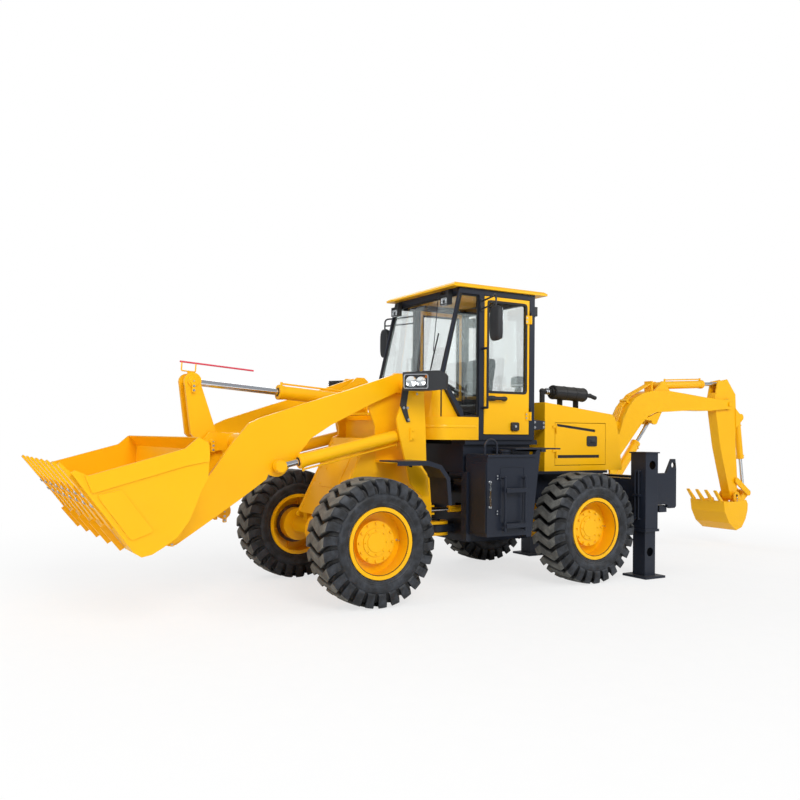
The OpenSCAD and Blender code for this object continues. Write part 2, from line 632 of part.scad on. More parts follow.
// Transverse frame of the legs, rails for the carriage and pointed side plates
rail_x = [-2470, -2590];
leg_x = -2172;
module stabilizer_frame() {
    o = leg_w / 2;
    top_plate = [[-2389, 796], [-2389, 1150], [-2550, 1150], [-2640, 1310], [-2700, 1310], [-2715, 1200], [-2715, 765], [-2690, 745], [-2600, 745], [-2560, 790]];
    color(black) place() {
        both() {
            difference() {
                union() {
                    block(leg_x - o, leg_x + o, leg_y - 104, leg_y + 104, 510, leg_top);
                    block(leg_x - o - 12, leg_x + o + 12, leg_y - 116, leg_y + 116, 512, 540);
                }
                block(leg_x - o + leg_wall, leg_x + o - leg_wall, leg_y - 104 + leg_wall, leg_y + 104 - leg_wall, 560, leg_top - 12);
                block(leg_x - 82.3, leg_x + 82.3, leg_y - 85.3, leg_y + 85.3, 500, 600);
                pin([leg_x - 12, 1248], 500, 1200, 50);
            }
            block(leg_x - o - 14, leg_x + o + 14, leg_y - 118, leg_y + 118, leg_top - 10, leg_top + 4);
            // Side plate with its lifting eye, and the arm that carries it
            difference() {
                plate(900, 30, top_plate);
                pin([-2665, 1240], 880, 960, 34);
            }
            block(-2400, leg_x - o + 1, 880, 930, 820, 1080);
        }
        // Cross box between the legs and the plates that reach the rear frame
        difference() {
            block(leg_x - o + 20, leg_x + o - 20, -leg_y + 103, leg_y - 103, 700, 1090);
            block(leg_x - o + 32, leg_x + o - 32, -leg_y + 60, leg_y - 60, 712, 1078);
        }
        for (e = [-1, 1]) block(-2110, -2066, e * 340 - 30, e * 340 + 30, 862, 1080);
        for (e = [-1, 1]) block(rail_x[0] - 10, leg_x - o + 21, e * 600 - 15, e * 600 + 15, 760, 1060);
        // Two hydraulic lines down the front of each leg tube, held by a clamp
        both() {
            for (y = [leg_y - 25, leg_y + 25]) {
                zcyl(leg_x + o + 22, y, 640, 1190, line_r);
                for (z = [650, 1180]) xcyl(leg_x + o - 3, leg_x + o + 22, y, z, line_r + 3);
            }
            block(leg_x + o - 1, leg_x + o + 34, leg_y - 50, leg_y + 50, 900, 925);
        }
        // Two rails
        block(rail_x[1], rail_x[0], -901, 901, 1020, 1100);
        block(rail_x[1], rail_x[0], -901, 901, 700, 780);
    }
}
module leg(s) {
    color(black) place() mirror([0, s > 0 ? 0 : 1, 0]) {
        difference() {
            block(leg_x - 82, leg_x + 82, leg_y - 85, leg_y + 85, 24, 930);
            block(leg_x - 73, leg_x + 73, leg_y - 76, leg_y + 76, 60, 950);
            pin([leg_x, 285], 700, 1200, 50);
        }
        block(leg_x - 155, leg_x + 155, leg_y - 165, leg_y + 165, 0, 25);
    }
}

module fenders() {
    color(black) place() both() {
        plate(690, 330, [[1130, 1310], [1130, 1324], [790, 1324], [640, 1280], [545, 1160], [522, 900], [536, 900], [559, 1152], [650, 1268], [792, 1310]]);
        plate(1012, 8, [[1130, 1280], [1130, 1324], [790, 1324], [640, 1280], [545, 1160], [522, 900], [560, 900], [585, 1145], [668, 1245], [800, 1280]]);
        block(760, 900, tower_y + plate_t + fit, 692, 1310, 1324);
        block(760, 768, tower_y + plate_t + fit, 692, 1250, 1317);
    }
}
lamp_face = [[930, 770], [745, 960]];   // inner and outer ends of the lens, in plan
module headlights() {
    turn = atan2(lamp_face[1][1] - lamp_face[0][1], lamp_face[1][0] - lamp_face[0][0]);
    wide = norm(lamp_face[1] - lamp_face[0]);
    color("#2b2e34") place() both() {
        difference() {
            intersection() {
                plate(760, 200, [[930, 2160], [640, 2180], [480, 2130], [500, 2010], [700, 1985], [915, 1985]]);
                translate([0, 0, 1900]) linear_extrude(300) polygon(concat(lamp_face, [[560, 960], [470, 880], [470, 760], [920, 760]]));
            }
            translate([lamp_face[0][0], lamp_face[0][1], 2005]) rotate([0, 0, turn]) translate([18, -4, 0]) cube([wide - 36, 14, 132]);
        }
        plate(tower_y + plate_t + fit, 14, [[770, 1690], [805, 1690], [880, 1850], [850, 2040], [780, 2040], [812, 1850]]);
        block(785, 845, tower_y + plate_t + 5, 770, 2020, 2036);
    }
}

// Loader arms: two cranked plates, their hubs, a cross tube and rocker brackets
arm_out = concat([[806, 2170], [1352, 1989], [1804, 1851], [2254, 1706], [2356, 1660], [2510, 1484], [2660, 1282], [2793, 1112], [3140, 790]],
    arc(bucket_pin, 116, 30, -115, 8), [[2804, 742], [2459, 965], [2190, 1150]], arc(lift_eye + [0, 20], 120, -50, -150, 6),
    [[1750, 1520], [1526, 1656], [1114, 1853], [804, 1985]], arc(arm_pin, 112, 250, 120, 8));
module loader_arms() {
    color(yellow) place() {
        both() {
            difference() {
                union() {
                    plate(arm_y, arm_t, arm_out);
                    pin(arm_pin, inner_y + plate_t + 2, tower_y - 2, 70);
                    pin(bucket_pin, arm_y - 15, arm_y + arm_t + 15, 80);
                    pin(lift_eye, arm_y - 12, arm_y + arm_t + 6, 70);
                }
                pin(arm_pin, 300, 700, 35.05);
                pin(bucket_pin, 300, 700, 30.05);
            }
        }
        pin([2374, 1495], -arm_y - 1, arm_y + 1, 75);
        both() difference() {
            plate(120, 40, [[2374, 1565], [2620, 1575], [2680, 1500], [2660, 1420], [2600, 1400], [2374, 1425]]);
            pin(rocker_pin, 100, 200, 28.05);
        }
    }
}

// Loader bucket: rolled back shell, side plates, edge, teeth and rear ears
b_top = [3048, 1534];
b_heel = [3479, 625];
b_edge = [3900, 1147];
bucket_shell = [[2970, 1497], [2950, 1434], [2961, 1209], [3006, 1135], [3106, 890], [3206, 759], [3316, 687], [3400, 640], [3479, 625],
                [3540, 665], [3700, 880], [3915, 1165], [3897, 1172]];
bucket_in = [[3685, 895], [3527, 679], [3474, 641], [3404, 655], [3322, 701], [3216, 770], [3119, 897], [3020, 1140],
             [2976, 1215], [2965, 1432], [3047, 1530], [3038, 1536]];
tooth_n = 8;
module loader_bucket() {
    side = [[2970, 1497], [2950, 1434], [2961, 1209], [3006, 1135], [3106, 890], [3206, 759], [3316, 687], [3400, 640], [3479, 625],
            [3540, 665], [3700, 880], [3915, 1165], [3995, 1276], [3960, 1290], [3870, 1250], [3149, 1447], [3048, 1534]];
    color(yellow) place() {
        plate(-bucket_half, 2 * bucket_half, concat(bucket_shell, bucket_in));
        both() plate(bucket_half - bucket_t, bucket_t, side);
        // Strip along the upper lip
        plate(-bucket_half + bucket_t + 5, 2 * (bucket_half - bucket_t - 5), [[2953, 1455], [2970, 1497], [2958, 1500], [2941, 1456]]);
        // Teeth on the cutting edge
        for (i = [0:tooth_n - 1]) plate(-bucket_half + 50 + i * (2 * bucket_half - 170) / (tooth_n - 1), 70, [[3690, 842], [3790, 975], [4075, 1330], [4060, 1345], [3890, 1185], [3870, 1140], [3680, 868]]);
        // Ears for the arms and for the link
        difference() {
            union() {
                both() for (y = [arm_y - 50, arm_y + arm_t + 20]) plate(y, 30, concat(arc(bucket_pin, 90, 130, 300, 8), [[3230, 745], [3200, 770], [3100, 905]]));
                both() plate(52, 30, concat(arc(bucket_ear, 62, 90, 270, 8), [[3110, 878], [3110, 895], [3013, 1130]]));
            }
            pin(bucket_pin, -800, 800, 30.05);
        }
        both() pin(bucket_pin, arm_y - 50, arm_y + arm_t + 50, 29.95);
        pin(bucket_ear, -82, 82, 27.95);
    }
}

module rocker() {
    color(yellow) place() {
        both() plate(62, 40, concat(arc(rocker_top, 80, -20, 200, 10), [[2560, 1640], [2500, 1480]], arc(rocker_low, 70, 170, 350, 8), [[2700, 1480], [2780, 1560]]));
        both() pin(rocker_top, 101, 116, 52);
        both() pin(rocker_low, 101, 116, 48);
        pin(rocker_pin, -190, 190, 27.95);
        pin(rocker_pin, -62, 62, 60);
    }
}
module bucket_link() {
    color(yellow) place() difference() {
        plate(-40, 80, bar(rocker_low, bucket_ear, 62, 62));
        pin(bucket_ear, -60, 60, 28.05);
    }
}

lift_len = 1180;
lift_y = 548;
module lift_barrels() {
    color(yellow) place() both() {
        barrel(lift_base, lift_eye, lift_y, lift_len, lift_r, lift_rod_r, 90);
        barrel_line(lift_base, lift_eye, lift_y, lift_len, lift_r, -1);
    }
}
module lift_rods() { color(steel) place() both() rod(lift_base, lift_eye, lift_y, lift_len, 900, lift_rod_r, 55, 76); }
tilt_len = 866;
module tilt_barrel() {
    color(yellow) place() {
        barrel(tilt_base, rocker_top, 0, tilt_len, tilt_r, tilt_rod_r, 96);
        barrel_line(tilt_base, rocker_top, 0, tilt_len, tilt_r, 1);
    }
}
module tilt_rod() { color(steel) place() rod(tilt_base, rocker_top, 0, tilt_len, 371, tilt_rod_r, 52, 96); }

// Steering cylinder beside the hinge, in plan
steer_base = [-420, 230];
steer_eye = [250, 230];
steer_z = 780;
module xcyl(x0, x1, y, z, r) { translate([x0, y, z]) rotate([0, 90, 0]) cylinder(h = x1 - x0, r = r); }
module steer_barrel() {
    x = steer_base[0];
    y = steer_base[1];
    color(yellow) place() {
        zcyl(x, y, steer_z - 53, steer_z + 53, 15);
        difference() {
            union() {
                xcyl(x + 20, x + 80, y, steer_z, 26);
                xcyl(x + 48, x + 420, y, steer_z, 36);
                zcyl(x, y, steer_z - 32, steer_z + 32, 34);
            }
            xcyl(x + 60, x + 560, y, steer_z, 18.06);
        }
    }
}
module steer_rod() {
    color(steel) place() {
        xcyl(steer_base[0] + 260, steer_eye[0] - 20, steer_base[1], steer_z, 18);
        zcyl(steer_eye[0], steer_eye[1], steer_z - 25, steer_z + 25, 30);
    }
}

// Carriage on the rails with the kingpin lugs
module carriage() {
    back = rail_x[1] - fit;
    color(black) place() translate([0, hoe_y, 0]) {
        block(back - 50, back, -260, 260, 660, 1100 + fit + 30);
        for (z = king_z) {
            block(swing_x, back - 49, -90, 90, z - 30, z + 30);
            zcyl(swing_x, 0, z - 30, z + 30, 90);
        }
        for (z = [1100 + fit, 700 - fit - 30]) block(back - 1, rail_x[0] - 20, -240, 240, z, z + 30);
        zcyl(swing_x, 0, king_z[0] - 36, king_z[1] + 36, 40);
    }
}
// Swing casting with the boom foot and boom cylinder pins
king_z = [700, 1060];
module swing_post() {
    side = boom_w / 2 + 6;
    color(yellow) place() translate([0, hoe_y, 0]) {
        difference() {
            union() {
                zcyl(swing_x, 0, king_z[0] + 31, king_z[1] - 31, 88);
                both() plate(side, 30, [[swing_x - 10, 745], [swing_x - 10, 1015], [-2955, 1020], [-2955, 1110], [-2900, 1250], [-2915, 1320], [-3010, 1320], [-3060, 1180], [-3100, 900], [-3100, 800], [-3040, 745]]);
                plate(-side - 1, 2 * side + 2, [[swing_x - 30, 745], [swing_x - 30, 1015], [-2955, 1020], [-2955, 745]]);
            }
            zcyl(swing_x, 0, 600, 1200, 40.1);
        }
        pin(boom_foot, -side - 36, side + 36, 34.95);
        pin(boom_base, -side - 29, side + 29, 24.95);
    }
}

// Upper edge of the boom, from the swing casting to the bend
boom_edge = [[-3166, 1618], [-3235, 1804], [-3329, 1958], [-3448, 2073], [-3594, 2146], [-3791, 2187]];
boom_under = [[-4966, 1939], [-4553, 1938], [-4051, 1906], [-3880, 1900], [-3700, 1840], [-3553, 1711], [-3172, 1309]];
boom_out = concat(arc(boom_foot, 100, 225, 420, 10), [[-3075, 1470]], boom_edge,
    [[-4120, 2198], [-4512, 2164], [-4890, 2129], [-5300, 2105]], arc(stick_pin, 80, 60, 300, 8), boom_under);
module boom() {
    color(yellow) place() translate([0, hoe_y, 0]) {
        difference() {
            union() {
                plate(-boom_w / 2, boom_w, boom_out);
                both() plate(70, 30, concat([[-3640, 1800], [-4000, 1925]], arc(boom_eye, 60, 190, 350, 8)));
                both() plate(56, 30, concat([[-3850, 2190], [-4200, 2160]], arc(stick_base, 55, 170, 10, 8)));
            }
            pin(boom_foot, -200, 200, 35.05);
            pin(stick_pin, -200, 200, 32.05);
            pin(boom_eye, -56, 56, 150);
            plate(-boom_w / 2 + 40, boom_w - 80, [[-4980, 1800], [-4980, 2300], [-5600, 2300], [-5600, 1800]]);
        }
        pin(stick_base, -56, 56, 24.95);
    }
}

boom_barrel_r = 56;
boom_len = 840;
module boom_barrel() {
    color(yellow) place() translate([0, hoe_y, 0]) {
        barrel(boom_base, boom_eye, 0, boom_len, boom_barrel_r, 28, 100);
        barrel_line(boom_base, boom_eye, 0, boom_len, boom_barrel_r, 1);
    }
}
module boom_rod() { color(steel) place() translate([0, hoe_y, 0]) rod(boom_base, boom_eye, 0, boom_len, 365, 28, 46, 100); }
stick_barrel_r = 54;
// Four steel pipes bent over the boom, from a block at its foot to a bulkhead behind the bend
pipe_run = [[-3181, 1742], [-3282, 1959], [-3457, 2123], [-3836, 2290]];
function on_boom(a, b, t, gap) = let (d = (b - a) / norm(b - a)) a + (b - a) * t + gap * [d[1], -d[0]];
module boom_lines() {
    color(yellow) place() translate([0, hoe_y, 0]) {
        for (y = [-45, -15, 15, 45]) {
            for (i = [0:2]) along(pipe_run[i], pipe_run[i + 1], y, 0, far(pipe_run[i], pipe_run[i + 1]), line_r);
            for (i = [1, 2]) translate([pipe_run[i][0], y, pipe_run[i][1]]) sphere(r = line_r + 1);
        }
        // Block at the foot and a saddle in the middle
        for (at = [[0, 0.28, 0.72, 62], [2, 0.4, 0.6, 56]]) let (a = boom_edge[at[0]], b = boom_edge[at[0] + 1])
            plate(-62, 124, [on_boom(a, b, at[1], fit), on_boom(a, b, at[2], fit), on_boom(a, b, at[2], at[3]), on_boom(a, b, at[1], at[3])]);
        // Bulkhead
        plate(-62, 124, [[-3822, 2189 + fit], [-3850, 2190 + fit], [-3850, 2325], [-3822, 2325]]);
    }
}
stick_len = 880;
module stick_barrel() {
    color(yellow) place() translate([0, hoe_y, 0]) {
        barrel(stick_base, stick_eye, 0, stick_len, stick_barrel_r, 27, 90);
        barrel_line(stick_base, stick_eye, 0, stick_len, stick_barrel_r, -1);
    }
}
module stick_rod() { color(steel) place() translate([0, hoe_y, 0]) rod(stick_base, stick_eye, 0, stick_len, 465, 27, 46, 84); }
hoe_barrel_r = 46;
hoe_len = 600;
module hoe_barrel() {
    color(yellow) place() translate([0, hoe_y, 0]) {
        barrel(hoe_base, hoe_joint, 0, hoe_len, hoe_barrel_r, 24, 80);
        barrel_line(hoe_base, hoe_joint, 0, hoe_len, hoe_barrel_r, -1);
    }
}
module hoe_rod() { color(steel) place() translate([0, hoe_y, 0]) rod(hoe_base, hoe_joint, 0, hoe_len, 168, 24, 40, 60); }

module stick() {
    web = concat([[-5203, 2373], [-5408, 2411]], [[-5596, 2193], [-5610, 1969], [-5600, 1500], [-5648, 960]], arc(hoe_pin, 75, 190, 350, 8), [[-5478, 740], [-5362, 1100], [-5262, 1419], [-5165, 1900], [-5140, 2135]]);
    color(yellow) place() translate([0, hoe_y, 0]) {
        difference() {
            union() {
                plate(-boom_w / 2 + 46, boom_w - 92, web);
                both() plate(50, 30, concat([[-5590, 1990], [-5600, 1700]], arc(hoe_base, 52, 240, 60, 8)));
            }
            plate(-50, 100, [[-5100, 2440], [-5100, 2205], [-5230, 2210], [-5300, 2235], [-5480, 2260], [-5600, 2320], [-5600, 2440]]);
            pin(hoe_pin, -200, 200, 30.05);
            pin(hoe_lever_pin, -200, 200, 24.05);
        }
        pin(stick_pin, -boom_w / 2 - 20, boom_w / 2 + 20, 31.95);
        pin(hoe_base, -50, 50, 24.95);
    }
}
module hoe_lever() {
    color(yellow) place() translate([0, hoe_y, 0]) {
        both() plate(78, 20, bar(hoe_lever_pin, hoe_joint, 42, 42));
        pin(hoe_lever_pin, -98, 98, 23.95);
    }
}
module hoe_link() {
    color(yellow) place() translate([0, hoe_y, 0]) difference() {
        union() { both() plate(42, 24, bar(hoe_joint, hoe_ear, 45, 42)); pin(hoe_ear, -43, 43, 40); }
        pin(hoe_ear, -100, 100, 24.05);
    }
}

hoe_out = [[-5060, 655], [-5085, 500], [-5180, 340], [-5337, 231], [-5460, 270], [-5542, 378], [-5588, 500], [-5596, 600]];
hoe_in = [[-5582, 600], [-5574, 504], [-5530, 387], [-5452, 282], [-5337, 245], [-5190, 350], [-5098, 505], [-5074, 657]];
module hoe_bucket() {
    color(yellow) place() translate([0, hoe_y, 0]) {
        plate(-hoe_w / 2, hoe_w, concat(hoe_out, hoe_in));
        both() plate(hoe_w / 2 - 14, 14, concat(hoe_out, [[-5560, 660], [-5300, 640]]));
        for (i = [-1.5:1:1.5]) plate(i * 150 - 22, 44, [[-5090, 520], [-5058, 640], [-4930, 800], [-4945, 810], [-5085, 670], [-5104, 540]]);
        difference() {
            both() plate(104, 24, concat(arc(hoe_pin, 62, 0, 150, 6), arc(hoe_ear, 50, 150, 260, 5), [[-5560, 410], [-5545, 390], [-5535, 400], [-5575, 520], [-5500, 650]]));
            pin(hoe_pin, -200, 200, 29.9);
            pin(hoe_ear, -200, 200, 23.9);
        }
        pin(hoe_pin, -128, 128, 30);
        pin(hoe_ear, -128, 128, 24);
    }
}

rear_chassis();
rear_axle();
engine_block();
cab_frame();
cowl();
roof();
cab_glass();
seat();
controls();
hood();
muffler();
side_tanks();
mirrors();
lamps();
stabilizer_frame();
door(1);  // door_left
door_glass(1);  // door_left_glass
door(-1);  // door_right
door_glass(-1);  // door_right_glass
hood_door(1);  // hood_door_left
hood_door(-1);  // hood_door_right
hood_grille();
front_chassis();
front_axle();
fenders();
headlights();
tyre(axle_x, 1);  // tyre_fl
tyre(axle_x, -1);  // tyre_fr
tyre(-axle_x, 1);  // tyre_rl
tyre(-axle_x, -1);  // tyre_rr
rim(axle_x, 1);  // rim_fl
rim(axle_x, -1);  // rim_fr
rim(-axle_x, 1);  // rim_rl
rim(-axle_x, -1);  // rim_rr
steer_barrel();
steer_rod();
loader_arms();
loader_bucket();
rocker();
bucket_link();
lift_barrels();
lift_rods();
tilt_barrel();
tilt_rod();
leg(1);  // leg_left
leg(-1);  // leg_right
carriage();
swing_post();
boom();
boom_lines();
boom_barrel();
boom_rod();
stick();
stick_barrel();
stick_rod();
hoe_barrel();
hoe_rod();
hoe_lever();
hoe_link();
hoe_bucket();
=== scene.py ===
"""Backhoe loader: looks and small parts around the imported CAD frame, in metres."""
import math

import bmesh
import bpy
import numpy as np
from mathutils import Matrix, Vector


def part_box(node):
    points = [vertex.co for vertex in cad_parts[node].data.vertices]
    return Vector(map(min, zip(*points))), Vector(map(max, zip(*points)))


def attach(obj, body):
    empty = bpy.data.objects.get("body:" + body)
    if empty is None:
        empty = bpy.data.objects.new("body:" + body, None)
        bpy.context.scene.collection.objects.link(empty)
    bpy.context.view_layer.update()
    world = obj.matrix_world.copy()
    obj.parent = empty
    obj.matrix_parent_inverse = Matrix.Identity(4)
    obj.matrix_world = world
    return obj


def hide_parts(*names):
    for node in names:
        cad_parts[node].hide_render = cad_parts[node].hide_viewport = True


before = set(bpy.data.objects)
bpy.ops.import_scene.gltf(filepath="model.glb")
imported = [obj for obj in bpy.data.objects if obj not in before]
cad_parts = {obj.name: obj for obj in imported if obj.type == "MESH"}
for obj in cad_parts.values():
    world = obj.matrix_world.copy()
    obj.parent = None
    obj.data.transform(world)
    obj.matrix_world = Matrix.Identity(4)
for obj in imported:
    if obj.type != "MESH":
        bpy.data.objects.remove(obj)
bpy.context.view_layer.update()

# -------- ground, light and view
# A pale studio floor with soft lamps over it, and the camera where the photographer stood:
# 7.2 m to the machine's left of its middle line, 6 m ahead of its middle and 1.6 m up.

STEERING_PIN = 0.925   # x of the hinge of the two frames, from which the machine is measured


def linear(code):
    """Turns an sRGB hex colour into the linear RGBA that a shader socket takes."""
    c = np.array([int(code[i:i + 2], 16) for i in (1, 3, 5)]) / 255
    return (*np.where(c <= 0.04045, c / 12.92, ((c + 0.055) / 1.055) ** 2.4), 1.0)


def add(tree, kind, settings=None, **links):
    """Adds one shader node: settings fill its values and sockets, links feed its sockets."""
    n = tree.nodes.new("ShaderNode" + kind)
    for key, value in (settings or {}).items():
        if isinstance(key, str) and hasattr(n, key) and key not in n.inputs:
            setattr(n, key, value)
        else:
            n.inputs[key].default_value = value
    for key, source in links.items():
        key = int(key[1:]) if key[0] == "_" and key[1:].isdigit() else key.replace("_", " ")
        tree.links.new(source, n.inputs[key])
    return n


def new_finish(name, colour, roughness, **sockets):
    """Starts a material with a Principled shader and returns it with its tree and shader."""
    m = bpy.data.materials.new(name)
    m.use_nodes = True
    m.diffuse_color = linear(colour)
    shader = m.node_tree.nodes["Principled BSDF"]
    shader.inputs["Base Color"].default_value = linear(colour)
    shader.inputs["Roughness"].default_value = roughness
    for key, value in sockets.items():
        shader.inputs[key.replace("_", " ")].default_value = value
    return m, m.node_tree, shader


def texture(tree, scale, detail=None, kind="TexNoise", output="Fac"):
    """One output of a procedural texture, in the metres of the machine."""
    values = {"Scale": scale} if detail is None else {"Scale": scale, "Detail": detail}
    return add(tree, kind, values, Vector=add(tree, "TexCoord").outputs["Object"]).outputs[output]


def mottle(tree, shader, factor, one, other):
    """Lets a factor mix the base colour from two hex colours."""
    mix = add(tree, "MixRGB", {"Color1": linear(one), "Color2": linear(other)}, Fac=factor)
    tree.links.new(mix.outputs[0], shader.inputs["Base Color"])


def seen_straight(tree):
    """1 for rays of the camera, also through glass, and 0 for others."""
    rays = add(tree, "LightPath").outputs
    either = add(tree, "Math", {"operation": "MAXIMUM"}, _0=rays["Is Camera Ray"], _1=rays["Is Transmission Ray"])
    return either.outputs[0]


def surface(points, loop_u=False, loop_v=False):
    """A grid of points P[u, v] as quads; a loop joins its last row or column to its first."""
    n, m = points.shape[:2]
    index = np.arange(n * m).reshape(n, m)
    i = np.arange(n if loop_u else n - 1)[:, None]
    j = np.arange(m if loop_v else m - 1)[None]
    quads = [index[i, j], index[(i + 1) % n, j], index[(i + 1) % n, (j + 1) % m], index[i, (j + 1) % m]]
    return points.reshape(-1, 3), np.stack(quads, -1).reshape(-1, 4)


def unit(v):
    """Vectors of length one."""
    v = np.asarray(v, float)
    return v / np.linalg.norm(v, axis=-1, keepdims=True)


def piece(name, parts, finish, body="rear_frame", smooth=35):
    """Joins surfaces into one closed mesh with its faces outwards, and lets it ride on a body."""
    points, faces, start = [], [], 0
    for p, f in parts:
        points.append(p)
        faces += (f + start).tolist() if isinstance(f, np.ndarray) else [[k + start for k in face] for face in f]
        start += len(p)
    mesh = bpy.data.meshes.new(name)
    mesh.from_pydata(np.concatenate(points).tolist(), [], faces)
    b = bmesh.new()
    b.from_mesh(mesh)
    bmesh.ops.remove_doubles(b, verts=b.verts, dist=2e-6)
    bmesh.ops.dissolve_degenerate(b, edges=b.edges, dist=1e-6)
    bmesh.ops.recalc_face_normals(b, faces=b.faces)
    b.to_mesh(mesh)
    b.free()
    mesh.polygons.foreach_set("use_smooth", np.ones(len(mesh.polygons), bool))
    mesh.set_sharp_from_angle(angle=math.radians(smooth))
    mesh.materials.append(finish)
    obj = bpy.data.objects.new(name, mesh)
    bpy.context.scene.collection.objects.link(obj)
    if body:
        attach(obj, body)
    return obj


floor_finish, tree, shader = new_finish("matte_studio_paper", "#F4F4F3", 0.9)
place = add(tree, "TexCoord").outputs["Object"]
mottle(tree, shader, texture(tree, 6.0, 3.0), "#EFEFED", "#F8F8F7")
# Seen straight, the paper is lit evenly from below, less so near the machine, where its shadow lies
paper = add(tree, "Emission", {"Strength": 1.0, "Color": (1, 1, 1, 1)})
distance = add(tree, "VectorMath", {"operation": "LENGTH"}, _0=place)
fade = {"interpolation_type": "SMOOTHSTEP", "From Min": 2.5, "From Max": 8.5, "To Min": 0.70, "To Max": 1.0}
evenly = add(tree, "MapRange", fade, Value=distance.outputs["Value"])
share = add(tree, "Math", {"operation": "MULTIPLY"}, _0=seen_straight(tree), _1=evenly.outputs[0])
blend = add(tree, "MixShader", _0=share.outputs[0], _1=shader.outputs[0], _2=paper.outputs[0])
tree.links.new(blend.outputs[0], tree.nodes["Material Output"].inputs["Surface"])
floor_line = np.linspace(-60.0, 60.0, 3)
u, v = np.meshgrid(floor_line, floor_line, indexing="ij")
floor = piece("studio_floor", [surface(np.stack([u, v, 0 * u - 0.001], -1))], floor_finish, None)

world = bpy.data.worlds.new("soft_studio")
bpy.context.scene.world = world
world.use_nodes = True
sky = world.node_tree
background = sky.nodes["Background"]
background.inputs["Color"].default_value = (0.94, 0.96, 1.0, 1.0)
background.inputs["Strength"].default_value = 0.42
seen = add(sky, "Background", {"Color": (1, 1, 1, 1), "Strength": 1.0})
mix = add(sky, "MixShader", _0=seen_straight(sky), _1=background.outputs[0], _2=seen.outputs[0])
sky.links.new(mix.outputs[0], sky.nodes["World Output"].inputs["Surface"])


def set_up(thing, axes, place):
    """Links an object at a place, with its own axes along three directions."""
    thing.matrix_world = Matrix([[a[k] for a in axes] + [place[k]] for k in range(3)] + [[0, 0, 0, 1]])
    bpy.context.scene.collection.objects.link(thing)


# name, place, aims at, size in metres, power in watts
for name, place, aim, size, power in [
        ("key_softbox", (5.0, 16.0, 12.0), (0.0, 0, 1.2), 8.0, 1950),
        ("front_softbox", (13.0, 2.0, 6.0), (1.5, 0, 1.0), 5.0, 430),
        ("rear_softbox", (-11.0, 9.0, 7.0), (-2.0, 0, 1.2), 5.0, 440),
        ("far_softbox", (-2.0, -11.0, 8.0), (0, 0, 1.5), 6.0, 330)]:
    lamp = bpy.data.lights.new(name, "AREA")
    lamp.shape, lamp.size, lamp.energy = "SQUARE", size, power
    back = unit(np.array(place, float) - aim)
    right = unit(np.cross((0, 0, 1), back))
    set_up(bpy.data.objects.new(name, lamp), (right, np.cross(back, right), back), place)

# The view is worked out from the wheels, cab and bucket pins: yaw, pitch and roll in radians
yaw, pitch, roll = -2.0823, -0.0047, 0.0079
forward = np.array([math.cos(yaw) * math.cos(pitch), math.sin(yaw) * math.cos(pitch), -math.sin(pitch)])
level = np.array([math.sin(yaw), -math.cos(yaw), 0])
rise = np.cross(level, forward)
right = math.cos(roll) * level + math.sin(roll) * rise
up = math.cos(roll) * rise - math.sin(roll) * level
eye = (STEERING_PIN + 5.0145, 7.232, 1.5704)
camera = bpy.data.cameras.new("photo_view")
focal_px, middle_px, frame_px, sensor_mm = 803.14, (360.13, 430.13), 800, 36.0
camera.sensor_width = sensor_mm
camera.lens = focal_px / frame_px * sensor_mm
camera.shift_x = (frame_px / 2 - middle_px[0]) / frame_px
camera.shift_y = (middle_px[1] - frame_px / 2) / frame_px
viewer = bpy.data.objects.new("photo_view", camera)
set_up(viewer, (right, up, -forward), eye)
bpy.context.scene.camera = viewer
bpy.context.scene.view_settings.view_transform = "Standard"

# -------- painted steelwork
# The frames, arms, cab, tanks and legs are welded steel plate, sprayed with alkyd enamel.
# Yellow on what moves and on the panels, charcoal on the frames; the plate edges are broken.


def gloss(tree, shader, factor, low, high):
    """Lets a factor move the roughness between two values."""
    spread = add(tree, "MapRange", {"To Min": low, "To Max": high}, Value=factor)
    tree.links.new(spread.outputs[0], shader.inputs["Roughness"])


def relief(tree, shader, height, strength, depth, **under):
    """A bump of a height, its depth in metres, over a normal where one is given."""
    bump = add(tree, "Bump", {"Strength": strength, "Distance": depth}, Height=height, **under)
    tree.links.new(bump.outputs[0], shader.inputs["Normal"])


def clothe(finish, *nodes):
    """Gives CAD nodes a finish in place of the plain one they come with."""
    for name in nodes:
        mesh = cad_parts[name].data
        mesh.materials.clear()
        mesh.materials.append(finish)


def enamel(name, colour, pale, roughness, dust, edge=0.004):
    """Sprayed enamel: cloudy by a few percent, orange peel of 3 mm, dust on upper faces."""
    m, tree, shader = new_finish(name, colour, roughness, Coat_Weight=0.08, Coat_Roughness=0.10,
                                 Specular_IOR_Level=0.25)
    place = add(tree, "TexCoord").outputs["Object"]
    cloud = add(tree, "TexNoise", {"Scale": 1.7, "Detail": 4.0, "Roughness": 0.6}, Vector=place)
    coat = add(tree, "MixRGB", {"Color1": linear(colour), "Color2": linear(pale)}, Fac=cloud.outputs["Fac"])
    normal = add(tree, "SeparateXYZ", Vector=add(tree, "NewGeometry").outputs["Normal"])
    specks = add(tree, "TexNoise", {"Scale": 38.0, "Detail": 6.0, "Roughness": 0.7}, Vector=place)
    lies = add(tree, "Math", {"operation": "MULTIPLY", "use_clamp": True},
               _0=normal.outputs["Z"], _1=specks.outputs["Fac"])
    much = add(tree, "Math", {"operation": "MULTIPLY", 1: dust}, _0=lies.outputs[0])
    top = add(tree, "MixRGB", {"Color2": linear("#9A8C74")}, Fac=much.outputs[0], Color1=coat.outputs[0])
    tree.links.new(top.outputs[0], shader.inputs["Base Color"])
    gloss(tree, shader, specks.outputs["Fac"], roughness - 0.06, roughness + 0.10)
    edges = add(tree, "Bevel", {"samples": 4, "Radius": edge})
    relief(tree, shader, texture(tree, 330.0, 1.0), 0.05, 0.0006, Normal=edges.outputs[0])
    return m


